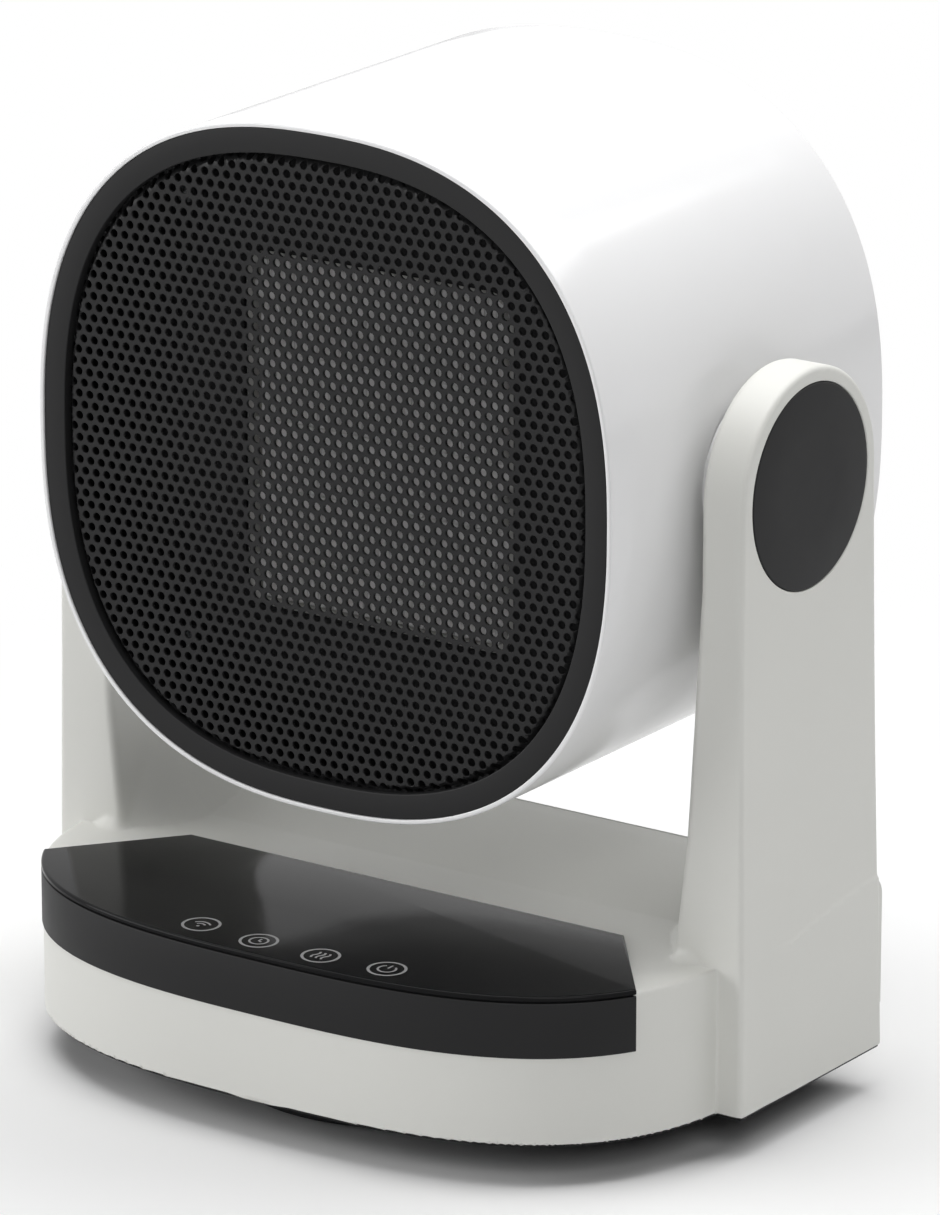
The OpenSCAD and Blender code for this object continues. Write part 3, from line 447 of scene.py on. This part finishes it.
# behind it a dark sleeve inside the barrel is painted shade, so that no white wall shows through the mesh
guide_low = node_box("air_guide")[0]
shade_sleeve_profile = [[WALL + 0.1, MESH_Y + 2.2], [WALL + 0.4, MESH_Y + 2.2],
         [WALL + 0.4, guide_low[1] - 0.3], [WALL + 0.1, guide_low[1] - 0.3]]
make_piece("inside_paint", *sweep_head(shade_sleeve_profile), "dark_trim", "head", sharp=30)

# %% [markdown]
# ## The front mesh
# The front is a punched steel sheet with over two thousand round holes in rows, each row shifted by
# half a step. A sheet like this is a honeycomb of equal cells: six straight sides outside, a round
# hole inside. One cell is drawn once and repeated. Cells that reach past the sheet's edge have their
# points pulled back onto the edge, where the bezel hides them. The middle of the sheet is pressed
# forward by two millimetres, so that only a narrow dark groove is left between it and the bezel.

# %% Mesh of punched steel
PITCH = 3.75
HOLE_R = 1.22
SHEET_T = 1.0
PRESSED = 2.2
OPEN_A, OPEN_B = HEAD_A - OPENING, HEAD_B - OPENING
OPEN_N = 2.51


def edge_share(flat, margin):
    """How far points are from the middle: 1 on the opening's outline moved outwards by a margin."""
    size = [OPEN_A + margin, OPEN_B + margin]
    return (np.abs(flat / size) ** OPEN_N).sum(-1) ** (1 / OPEN_N)


def punched_sheet():
    """Points and faces of the punched sheet."""
    row = PITCH * math.sqrt(3) / 2
    columns = np.arange(-26, 27)
    rows = np.arange(-29, 30)
    centres = np.array([((c + 0.5 * (r % 2)) * PITCH, r * row) for r in rows for c in columns])
    centres = centres[edge_share(centres, 1.6) < 1]
    turn = np.radians(np.arange(12) * 30 + 30)
    corner_r = PITCH / math.sqrt(3)
    # every second of the twelve directions is a corner of the cell, the others are middles of sides
    reach = np.where(np.arange(12) % 2 == 0, corner_r, PITCH / 2)
    hexagon = np.stack([reach * np.cos(turn), reach * np.sin(turn)], 1)
    ring = np.stack([np.cos(turn), np.sin(turn)], 1)
    layers = [(hexagon, 0.0), (ring * (HOLE_R + 0.16), 0.0), (ring * HOLE_R, 0.16),
              (ring * HOLE_R, SHEET_T), (hexagon, SHEET_T)]
    points = np.zeros((len(centres), len(layers), 12, 3))
    for k, (outline, depth) in enumerate(layers):
        flat = centres[:, None, :] + outline[None]
        flat = flat / np.maximum(edge_share(flat, 1.3), 1)[..., None]
        inside = (1 - edge_share(flat, 0)) * OPEN_A
        points[:, k, :, 0] = flat[..., 0]
        points[:, k, :, 1] = MESH_Y + depth - PRESSED * fade(inside, 0.4, 2.2)
        points[:, k, :, 2] = PIVOT[2] + flat[..., 1]
    one = np.array(rings_to_faces(len(layers), 12, False))[:, ::-1]
    faces = (one[None] + 60 * np.arange(len(centres))[:, None, None]).reshape(-1, 4)
    print(f"{len(centres)} holes")
    return points.reshape(-1, 3), faces


sheet_points, sheet_faces = punched_sheet()
make_piece("punched_mesh", sheet_points, sheet_faces, "mesh_black", "head",
           ["front_grille"], sharp=30)

# %% [markdown]
# ## The heating block
# Behind the mesh stands a stack of flat aluminium tubes that hold the ceramic stones, with folded
# aluminium foil between them. The CAD fins are few and thick, because they only stand for the mass.
# Here each strip of foil gets its real, fine folds, so the whole window looks evenly silver.

# %% Folded fins
TUBES = 5
tube_low, tube_high = node_box("ptc_tubes")
fin_low, fin_high = node_box("ptc_fins")
core_low, core_high = node_box("ptc_frame")
RAIL = 2.3
WINDOW_A, WINDOW_B = core_high[0] - RAIL, PIVOT[2] - core_low[2] - RAIL
CORNER = 8 - RAIL
TUBE_STEP = 2 * WINDOW_B / TUBES
TUBE_HALF = (tube_high[2] - tube_low[2] - (TUBES - 1) * TUBE_STEP) / 2
FOLD, FOIL = 1.3, 1.0


def window_height(x):
    """Half the height of the window at x, less in its round corners."""
    over = np.clip(np.abs(x) - (WINDOW_A - CORNER), 0, CORNER)
    return WINDOW_B - CORNER + np.sqrt(CORNER ** 2 - over ** 2)


def fin_strip(low, high):
    """One folded strip between two heights, which follows the window's corners."""
    folds = int((WINDOW_A - 0.9) / FOLD) * 2 + 1
    x = (np.arange(folds) - folds // 2) * FOLD
    z = np.where(np.arange(folds) % 2 == 0, low + 0.2, high - 0.2)
    z = np.clip(z, -window_height(x) + 0.2, window_height(x) - 0.2)
    # every fold is a short flat piece, and the legs between the folds are almost upright
    count = 2 * folds
    line = np.stack([np.repeat(x, 2) + np.tile([-0.44 * FOLD, 0.44 * FOLD], folds), np.repeat(z, 2)], 1)
    way = np.gradient(line, axis=0)
    side = np.stack([way[:, 1], -way[:, 0]], 1) / np.linalg.norm(way, axis=1)[:, None] * FOIL / 2
    front, rear = min(fin_low[1], tube_low[1]) - 0.2, fin_high[1]
    corners = [(-side, front), (side, front), (side, rear), (-side, rear)]
    points = np.stack([np.stack([line[:, 0] + move[:, 0], np.full(count, y),
                                 PIVOT[2] + line[:, 1] + move[:, 1]], 1) for move, y in corners], 1)
    faces = [(4 * i + k, 4 * i + 4 + k, 4 * i + 4 + (k + 1) % 4, 4 * i + (k + 1) % 4)
             for i in range(count - 1) for k in range(4)]
    return points.reshape(-1, 3), faces


strips = [fin_strip(-WINDOW_B, -(TUBES - 1) / 2 * TUBE_STEP - TUBE_HALF),
          fin_strip((TUBES - 1) / 2 * TUBE_STEP + TUBE_HALF, WINDOW_B)]
for k in range(TUBES - 1):
    middle = (k - (TUBES - 2) / 2) * TUBE_STEP
    strips.append(fin_strip(middle - TUBE_STEP / 2 + TUBE_HALF, middle + TUBE_STEP / 2 - TUBE_HALF))
make_piece("folded_fins", *joined(*strips), "fin_aluminium", "head", ["ptc_fins"], sharp=20)
print(f"tubes {2 * TUBE_HALF:.1f} mm high, every {TUBE_STEP:.1f} mm")

# %% [markdown]
# ## A shell from a distance field
# The base and its arms are one moulding whose edges are all soft: they flow into each other in wide
# curves. Cutting and bevelling such a shape in a mesh goes wrong easily. Instead the shape is
# described by a function that gives the distance to its surface, negative inside. Two shapes are
# joined or cut with a chosen edge radius by a short formula, and the mesh is then laid on the place
# where the function is zero.

# %% Joining and cutting with round edges
def joined_round(a, b, r):
    """The union of two fields, with a hollow curve of radius r where they meet."""
    return np.maximum(r, np.minimum(a, b)) - np.hypot(np.maximum(r - a, 0), np.maximum(r - b, 0))


def common_round(a, b, r):
    """What two fields share, with an outer edge of radius r."""
    return np.minimum(-r, np.maximum(a, b)) + np.hypot(np.maximum(r + a, 0), np.maximum(r + b, 0))


FRONT_A, FRONT_B, FRONT_N, FRONT_CY = BASE_HALF - 7.7, 89.7, 2.84, 16.6


def front_plan(x, y, inset=0.0):
    """Distance to the front outline of the base, in plan."""
    y = np.minimum(y, ARM_Y + 0.5)
    a, b = FRONT_A - inset, FRONT_B - inset
    u, v = np.abs(x) / a, np.abs(y - FRONT_CY) / b
    size = (u ** FRONT_N + v ** FRONT_N) ** (1 / FRONT_N)
    size = np.maximum(size, 0.2)
    slope = size ** (1 - FRONT_N) * np.hypot(u ** (FRONT_N - 1) / a, v ** (FRONT_N - 1) / b)
    return (size - 1) / np.maximum(slope, 1e-4)


def arm_side(y, z, inset=0.0):
    """Distance to an arm's side view: nearly upright edges and a round top."""
    rise = np.clip((z - SEAM_Z) / (PIVOT[2] - SEAM_Z), 0, 1)
    front = ARM_Y + (PIVOT[1] - ARM_R - ARM_Y) * rise + inset
    rear = REAR_Y + (PIVOT[1] + ARM_R - REAR_Y) * rise - inset
    straight = np.maximum(front - y, y - rear)
    return np.where(z > PIVOT[2], np.hypot(y - PIVOT[1], z - PIVOT[2]) - ARM_R + inset, straight)


def yoke_outside(x, z):
    """Distance to the outer faces of the arms, which lean in a little."""
    heights = BASE_Z + np.array([0.5, 45, 95, 140])
    return np.abs(x) - np.interp(z, heights, BASE_HALF - np.array([0.15, 0.8, 1.6, 2.0]))


SADDLE_Z = FRONT_Z + SADDLE_R


def inner_wall(z):
    """How far the inner face of an arm is from the middle. It leans out a little."""
    heights = [FRONT_Z, SADDLE_Z, BASE_Z + 103, BASE_Z + 120, BASE_Z + 152]
    return np.interp(z, heights, [IN_LOW - 4.4, IN_LOW - 0.6, IN_LOW + 0.7, IN_LOW + 1.6, IN_TOP])


TOE_START, TOE_R = 1.0, 3.5  # radius in front of the arms: at their inner edge, and how much it grows
SADDLE_WIDE, SADDLE_GROWS = 34.0, 25.0  # the widest radius between the arms, and how far back it is
SADDLE_CUT = 0.2  # how far under the block's top the curve would end, as a share of its radius


def with_feet(block, arms, x, y):
    """The arms stand on the block in hollow curves: small in front of them, wide between them."""
    x = np.abs(x)
    out = 1 - 0.9 * fade(x, 101, 107)
    behind = fade(y, ARM_Y + 3, ARM_Y + 6)
    toe = (TOE_START + TOE_R * fade(x, 92, 100)) * out * (1 - behind) + behind
    grown = np.sin(np.clip((y - ARM_Y - 2) / SADDLE_GROWS, 0, 1) * math.pi / 2)
    saddle = 0.5 + SADDLE_WIDE * out * grown
    # the saddle's curve ends a little under the block's top, so it meets the top at an angle
    return np.minimum(joined_round(block, arms, toe), joined_round(block + SADDLE_CUT * saddle, arms, saddle))


print("outlines ready")

# %% [markdown]
# ## The shape of the base
# The front block, the two arms and the ramp between them are three fields. Each arm grows out of the
# block in a hollow curve whose radius changes: a few millimetres at the front of the arm, dying out
# towards the outer corner, and wide between the arms, where it swings back like a saddle. The inside
# is cut out a wall's thickness below the surface, and open underneath.

# %% The field of the base
RAMP_Y, RAMP_END = 17.5, REAR_Y - 6.0
COVER_EDGE, COVER_Z = 3.6, SADDLE_Z + 4


def base_outside(x, y, z, low=None):
    """Field of the base and its arms without any hollow."""
    low = SEAM_Z if low is None else low
    ax = np.abs(x)
    front = common_round(front_plan(x, y), z - FRONT_Z, 1.2)
    front = np.maximum(front, y - (ARM_Y + 20))
    arms = common_round(arm_side(y, z), yoke_outside(x, z), 1.5)
    arms = common_round(arms, inner_wall(z) - ax, 2.5)
    # the ramp starts with a soft edge and levels off towards the rear
    way = np.clip((y - RAMP_Y) / (RAMP_END - RAMP_Y), 0, 1)
    floor = FRONT_Z + (REAR_Z - FRONT_Z) * (way + np.sin(way * math.pi / 2)) / 2
    ramp = common_round(z - floor, y - REAR_Y, 0.8)
    ramp = np.maximum(ramp, np.maximum(ARM_Y + 4 - y, ax - BASE_HALF + 2))
    whole = with_feet(np.minimum(front, ramp), arms, x, y)
    rear = y - REAR_Y - (PIVOT[1] + ARM_R - REAR_Y) * np.clip((z - REAR_Z) / (PIVOT[2] - REAR_Z), 0, 1)
    return np.maximum(np.maximum(whole, rear), low - z)


def cover_recess(x, y, z, border):
    """Field of the place of an arm's inner cover, this far inside the arm's edges."""
    return np.maximum(arm_side(y, z, border), COVER_Z + border - COVER_EDGE - z)


def base_field(x, y, z):
    """Field of the moulded shell: the outside, the hollow, and the openings that other pieces hide."""
    ax = np.abs(x)
    outside = base_outside(x, y, z)
    hollow = base_outside(x, y, z, -100.0) + WALL
    shell = np.maximum(outside, -hollow)
    # a shallow recess that the arm's inner cover fills, and a window behind it
    depth = ax - inner_wall(z)
    recess = np.maximum(cover_recess(x, y, z, COVER_EDGE), np.maximum(depth - 0.5, 60 - ax))
    window = np.maximum(cover_recess(x, y, z, COVER_EDGE + 2.5), np.maximum(depth - 6, 60 - ax))
    shell = np.maximum(shell, -np.minimum(recess, window))
    # the notch under the control panel stays a little smaller than the panel
    notch = np.maximum(panel_plan(x, y) + 1.4, BAND_Z + 1.4 - z)
    shell = np.maximum(shell, -notch)
    # the opening behind the rear panel, and the hole behind the pivot's cap
    rear = np.maximum(np.maximum(ax - 95, np.abs(z - BASE_Z - 29) - 13), REAR_Y - WALL - 2 - y)
    shell = np.maximum(shell, -rear)
    bore = np.maximum(np.hypot(y - PIVOT[1], z - PIVOT[2]) - 21, OUT_TOP - 6 - ax)
    return np.maximum(shell, -bore)


PANEL_BACK, PANEL_FRONT, PANEL_BACK_Y = 75.8, 103.2, -1.3


def panel_plan(x, y):
    """Distance to the control panel's outline in plan, outside the front curve."""
    x = np.abs(x)
    end_y = FRONT_CY - FRONT_B * (1 - (PANEL_FRONT / FRONT_A) ** FRONT_N) ** (1 / FRONT_N)
    along = np.array([PANEL_FRONT - PANEL_BACK, end_y - PANEL_BACK_Y])
    along = along / np.hypot(*along)
    side = (x - PANEL_BACK) * -along[1] + (y - PANEL_BACK_Y) * along[0]
    return np.maximum(side, y - PANEL_BACK_Y)


print("the base is described")

# %% [markdown]
# ## Laying a mesh on a field
# Surface nets is the simplest way: space is cut into small cubes, each cube that the surface passes
# through gets one point, and points of neighbouring cubes are joined into quads. The points are then
# slid along the field's slope until they lie exactly on the surface, and the same slope gives exact
# normals. Only the right half is made, and the left is its mirror image.

# %% Surface nets
def slope_of(field, points, step=0.02):
    """The field's value at some points, and its slope there."""
    x, y, z = points.T
    slope = np.stack([field(x + step, y, z) - field(x - step, y, z),
                      field(x, y + step, z) - field(x, y - step, z),
                      field(x, y, z + step) - field(x, y, z - step)], 1) / (2 * step)
    return field(x, y, z), slope


def surface_net(field, low, high, pitch):
    """Points, quads and normals of the surface where the field is zero."""
    counts = [int(math.ceil((high[k] - low[k]) / pitch)) + 1 for k in range(3)]
    axes = [low[k] + pitch * np.arange(counts[k]) for k in range(3)]
    value = field(axes[0][:, None, None], axes[1][None, :, None], axes[2][None, None, :])
    inside = value < 0
    corners = [(i, j, k) for i in (0, 1) for j in (0, 1) for k in (0, 1)]
    n = np.array(inside.shape) - 1
    count = sum(inside[i:i + n[0], j:j + n[1], k:k + n[2]].astype(np.int8) for i, j, k in corners)
    cells = np.argwhere((count > 0) & (count < 8))
    number = -np.ones(n, int)
    number[tuple(cells.T)] = np.arange(len(cells))
    points = np.zeros((len(cells), 3))
    crossings = np.zeros(len(cells))
    for first in corners:
        for axis in range(3):
            if first[axis]:
                continue
            second = tuple(1 if k == axis else first[k] for k in range(3))
            va = value[tuple((cells + first).T)]
            vb = value[tuple((cells + second).T)]
            hit = (va < 0) != (vb < 0)
            share = np.where(hit, va / np.where(hit, va - vb, 1), 0)
            place = cells + np.array(first) + share[:, None] * (np.array(second) - first)
            points += np.where(hit[:, None], place, 0)
            crossings += hit
    points = np.array(low) + pitch * points / crossings[:, None]
    faces = []
    for axis in range(3):
        u, v = (axis + 1) % 3, (axis + 2) % 3
        a = np.take(inside, range(0, inside.shape[axis] - 1), axis)
        b = np.take(inside, range(1, inside.shape[axis]), axis)
        for flip in (False, True):
            edges = np.argwhere((b & ~a) if flip else (a & ~b))
            edges = edges[(edges[:, u] > 0) & (edges[:, v] > 0) & (edges[:, u] < n[u]) & (edges[:, v] < n[v])]
            quad = []
            for du, dv in ((1, 1), (0, 1), (0, 0), (1, 0)):
                cell = edges.copy()
                cell[:, u] -= du
                cell[:, v] -= dv
                quad.append(number[tuple(cell.T)])
            quad = np.stack(quad, 1)
            faces.append(quad[:, ::-1] if flip else quad)
    for _ in range(3):
        height, slope = slope_of(field, points)
        steep = np.maximum((slope ** 2).sum(1), 0.25)
        move = -slope * (height / steep)[:, None]
        points = points + np.clip(move, -0.4 * pitch, 0.4 * pitch)
    slope = slope_of(field, points)[1]
    return points, np.concatenate(faces), slope / np.maximum(np.linalg.norm(slope, axis=1), 1e-6)[:, None]


NET = 1.0
half_points, half_faces, half_normals = surface_net(
    base_field, (-NET * 1.5, FRONT_CY - FRONT_B - 3, SEAM_Z - 3),
    (BASE_HALF + 3, REAR_Y + 3, shell_high[2] + 3), NET)
print(f"right half: {len(half_points)} points, {len(half_faces)} quads")

# %% [markdown]
# ## The base becomes a piece
# The round seat of each pivot cap needs a crisper edge than the net can give. The quads inside the
# seat's circle are left out, the points on the hole's rim are moved onto the circle, and a turned
# ring with a small rounded lip fills the step.

# %% Base, with a turned seat for each cap
SEAT_R = CAP_R + 0.6


def without_seat(points, faces):
    """Opens a round hole where the cap's seat will be."""
    middle = points[faces].mean(1)
    away = np.hypot(middle[:, 1] - PIVOT[1], middle[:, 2] - PIVOT[2])
    in_seat = (away < SEAT_R) & (middle[:, 0] > OUT_TOP - 4)
    keep = (middle[:, 0] > 0) & ~in_seat
    rim = np.intersect1d(faces[keep], faces[in_seat])
    rim = rim[points[rim, 0] > OUT_TOP - 1]
    offset = points[rim, 1:] - PIVOT[1:]
    points = points.copy()
    points[rim, 1:] = PIVOT[1:] + offset * (SEAT_R / np.linalg.norm(offset, axis=1))[:, None]
    print(f"{len(rim)} points lie on the seat's rim")
    return points, faces[keep]


half_points, half_faces = without_seat(half_points, half_faces)
seat = lathe_x([[x, r] for r, x in arc(SEAT_R, OUT_TOP - 0.4, 0.4, 90, 180, 4)]
               + [[OUT_TOP - 2.2, SEAT_R - 0.4], [OUT_TOP - 2.2, 20]], 144)
body_points, body_faces = joined((half_points, half_faces), mirrored(half_points, half_faces))
make_piece("base_skin", body_points, body_faces, "case_white", "base", ["base_shell"],
           normals=np.concatenate([half_normals, half_normals * [-1, 1, 1]]))
make_piece("cap_seats", *joined(seat, mirrored(*seat)), "case_white", "base", sharp=50)

# %% [markdown]
# ## The pivot caps
# A flat dark disc covers each pivot and lies flush with the arm. On the real cap the edge is slightly
# round and stands a hair away from its seat, which draws the thin dark line round it.

# %% Caps
cap_profile = [[OUT_TOP - 2.1, CAP_R]] + [[x, r] for r, x in arc(CAP_R - 0.5, OUT_TOP - 0.45, 0.5, 0, 90)]
cap_profile += [[OUT_TOP + 0.05, CAP_R * 0.5], [OUT_TOP + 0.05, 0.01]]
cap = lathe_x(cap_profile, 144)
make_piece("cap_right", *cap, "dark_trim", "base", ["pivot_cap_right"], sharp=50)
make_piece("cap_left", *mirrored(*cap), "dark_trim", "base", ["pivot_cap_left"], sharp=50)

# %% [markdown]
# ## The control panel
# The panel is two pieces on top of each other. A satin band wraps the front of the base, and a
# glossy black cover lies on it. The cover's edge is round and catches a thin bright line, and the
# narrow groove below it stays dark. Both have the same D-shaped outline, so one function draws it at
# any distance inwards, and a short profile is swept round it.

# %% Outline of the panel
def panel_outline(inset, steps=120):
    """The panel's outline in plan, this far inside its edge."""
    reach = PANEL_FRONT - inset
    x = -np.cos(np.linspace(0, math.pi, steps)) * reach
    a, b = FRONT_A - inset + 0.4, FRONT_B - inset + 0.4
    y = FRONT_CY - b * (1 - (np.abs(x) / a) ** FRONT_N) ** (1 / FRONT_N)
    back = PANEL_BACK - inset * 0.6
    rear_y = PANEL_BACK_Y - inset
    corner = [[back, rear_y], [back * 0.5, rear_y], [-back * 0.5, rear_y], [-back, rear_y]]
    return np.concatenate([np.stack([x, y], 1), corner])


def sweep_panel(profile, closed):
    """Sweeps a line of (distance inwards, z) round the panel, and closes the top if the line is open."""
    rings = [np.column_stack([panel_outline(inset), np.full(124, z)]) for inset, z in profile]
    faces = rings_to_faces(len(rings), 124, closed)
    if not closed:
        faces.append(tuple(range(124 * (len(rings) - 1), 124 * len(rings))))
    return np.concatenate(rings), faces


COVER_T = 1.7
cover_low = PANEL_Z - COVER_T
cover_profile = [[3.0, cover_low + 0.1], [0.5, cover_low + 0.1], [0.15, cover_low + 0.15]]
cover_profile += [[0.0, cover_low + 0.35]] + arc(0.8, PANEL_Z - 0.8, 0.8, 180, 90, 6).tolist()
make_piece("panel_cover", *sweep_panel(cover_profile, False), "touch_glass", "base",
           ["touch_lens"], sharp=35)
band_top = cover_low - 0.35
band_profile = [[2.6, BAND_Z + 0.05]] + arc(0.3, BAND_Z + 0.35, 0.3, 270, 180, 4).tolist()
band_profile += arc(0.3, band_top - 0.3, 0.3, 180, 90, 4).tolist()
band_profile += [[1.0, band_top], [1.0, cover_low + 0.1], [2.6, cover_low + 0.1]]
make_piece("panel_band", *sweep_panel(band_profile, True), "dark_trim", "base",
           ["panel_housing"], sharp=35)

# %% [markdown]
# ## Marks on the touch panel
# Four touch pads are marked by thin rings with a small plain sign in each: swing, timer, heat and
# power. They are printed lines, so each is a flat ribbon laid just above the cover. A ribbon is made
# from a line of points by stepping half its width to either side.

# %% Ribbons for the printed marks
MARK_Z = PANEL_Z + 0.03


def ribbon(line, width, closed=False):
    """A flat ribbon along a line of points."""
    line = np.asarray(line, float)
    if closed:
        before, after = np.roll(line, 1, 0), np.roll(line, -1, 0)
    else:
        before = np.vstack([line[:1], line[:-1]])
        after = np.vstack([line[1:], line[-1:]])
    way = after - before
    way /= np.linalg.norm(way, axis=1)[:, None]
    side = np.stack([-way[:, 1], way[:, 0]], 1) * width / 2
    points = np.concatenate([line + side, line - side])
    n = len(line)
    faces = [(i, n + i, n + (i + 1) % n, (i + 1) % n) for i in range(n if closed else n - 1)]
    return np.column_stack([points, np.full(2 * n, MARK_Z)]), faces


def dot(x, y, r):
    """A small printed disc."""
    ring = arc(x, y, r, 0, 345, 24)
    return np.column_stack([ring, np.full(24, MARK_Z)]), [tuple(range(24))]


LINE = 0.65
wave = np.linspace(-1, 1, 13)
signs = {
    "swing": [ribbon(arc(0, -1.2, 3.2, 35, 145, 14), LINE), ribbon(arc(0, -1.2, 1.7, 35, 145, 10), LINE),
              dot(0, -1.6, 0.5)],
    "timer": [ribbon(arc(0, 0, 2.7, 0, 350, 36), LINE, True), ribbon([[0, 1.6], [0, 0], [1.2, -0.6]], LINE)],
    "heat": [ribbon(np.stack([dx + 0.45 * np.sin(wave * math.pi), wave * 2.4], 1), LINE)
             for dx in (-1.7, 0, 1.7)],
    "power": [ribbon(arc(0, 0, 2.6, 125, 415, 30), LINE), ribbon([[0, 0.4], [0, 3.1]], LINE)],
}


def mark_place(index):
    """Where a pad's mark lies. The row of four follows the front edge."""
    across = (index - 1.5) * 21.4
    return np.array([5 + across, -64.2 + across ** 2 / 515, 0])


marks = []
for index, sign in enumerate(signs.values()):
    for points, faces in [ribbon(arc(0, 0, 5.3, 0, 354, 60), 0.85, True)] + sign:
        marks.append((points + mark_place(index), faces))
finish_of("mark_grey", (0.30, 0.30, 0.30), 0.4, specular=0.2)
mark_piece = make_piece("touch_marks", *joined(*marks), "mark_grey", "base")

# %% [markdown]
# ## Light and floor
# The picture has plain, even studio light: a large soft lamp above, a second one from the front
# left, and a pale room all round. The floor is a pale disc. Seen directly, by the camera or in a
# reflection, the room is white, and for everything else it is a dim grey, so the shapes keep their
# shading and the floor keeps a soft shadow.

# %% Floor
def ring_points(radius, count, z=0.0):
    t = np.linspace(0, 2 * math.pi, count, endpoint=False)
    return np.stack([radius * np.cos(t), radius * np.sin(t), np.full(count, z)], 1)


floor_mesh = bpy.data.meshes.new("floor")
floor_rings = np.concatenate([ring_points(r, 64) for r in (0.05, 0.4, 1.0, 2.5)])
floor_faces = rings_to_faces(4, 64, False) + [tuple(range(64))]
floor_mesh.from_pydata([tuple(p) for p in floor_rings], [], floor_faces)
floor = bpy.data.objects.new("floor", floor_mesh)
bpy.context.collection.objects.link(floor)
floor_paint = bpy.data.materials.new("floor_paint")
floor_paint.use_nodes = True
floor_shader = floor_paint.node_tree.nodes["Principled BSDF"]
floor_start = Link(floor_paint.node_tree, None)
floor_cloud = floor_start.node("ShaderNodeTexNoise", Scale=3.0, Detail=2.0)
floor_rays = floor_paint.node_tree.nodes.new("ShaderNodeLightPath")
floor_seen = Link(floor_paint.node_tree, floor_rays.outputs["Is Camera Ray"])
feed(floor_paint.node_tree, floor_shader.inputs["Base Color"],
     floor_seen.mix((0.88, 0.88, 0.88), floor_cloud.mix((0.93, 0.93, 0.93), (0.95, 0.95, 0.95))))
floor_shader.inputs["Roughness"].default_value = 0.9
floor_shader.inputs["Specular IOR Level"].default_value = 0.0
floor_place = floor_start.node("ShaderNodeTexCoord", out=3)
floor_far = floor_start.node("ShaderNodeVectorMath", {"operation": "LENGTH"}, out=1, i0=floor_place)
white_glow = floor_start.node("ShaderNodeEmission", Strength=1.0)
floor_mix = floor_start.node("ShaderNodeMixShader", i0=floor_far.band(0.16, 0.50) * floor_seen,
                             i1=Link(floor_paint.node_tree, floor_shader.outputs[0]), i2=white_glow)
floor_out = floor_paint.node_tree.nodes["Material Output"]
floor_paint.node_tree.links.new(floor_mix.socket, floor_out.inputs["Surface"])
floor_mesh.materials.append(floor_paint)

# %% Room light
world = bpy.data.worlds.new("studio")
bpy.context.scene.world = world
world.use_nodes = True
room = world.node_tree
room_start = Link(room, None)
path = room.nodes.new("ShaderNodeLightPath")
seen = Link(room, path.outputs["Is Camera Ray"])
glossy = Link(room, path.outputs["Is Glossy Ray"])
through = Link(room, path.outputs["Is Transmission Ray"])
direct = room_start.math("MAXIMUM", room_start.math("MAXIMUM", seen, glossy), through)
ROOM = 0.03
background = room.nodes["Background"]
background.inputs["Color"].default_value = (1, 1, 1, 1)
feed(room, background.inputs["Strength"], direct * (1 - ROOM) + ROOM)


def lamp(name, place, aim, width, height, power):
    """A soft rectangular lamp that shines from place towards aim."""
    light = bpy.data.lights.new(name, "AREA")
    light.shape = "RECTANGLE"
    light.size, light.size_y = width, height
    light.energy = power
    thing = bpy.data.objects.new(name, light)
    bpy.context.collection.objects.link(thing)
    thing.location = place
    thing.rotation_mode = "QUATERNION"
    thing.rotation_quaternion = (Vector(aim) - Vector(place)).to_track_quat("-Z", "Y")
    return thing


lamp("top_lamp", (-0.2, 0.1, 1.5), (0, 0, 0.1), 1.4, 1.4, 20)
lamp("rear_lamp", (0.6, 0.7, 1.4), (0, 0, 0.12), 1.0, 1.0, 9)
lamp("front_left_lamp", (-1.9, -1.5, 0.8), (0, 0, 0.12), 1.6, 1.4, 28)
lamp("front_right_lamp", (1.3, -1.2, 1.3), (0, 0, 0.12), 1.0, 1.0, 8.5)
print("light is set")

# %% [markdown]
# ## Colour management
# The plain Standard view shows a colour as it is written, without a film curve.

# %% Finish
bpy.context.scene.view_settings.view_transform = "Standard"
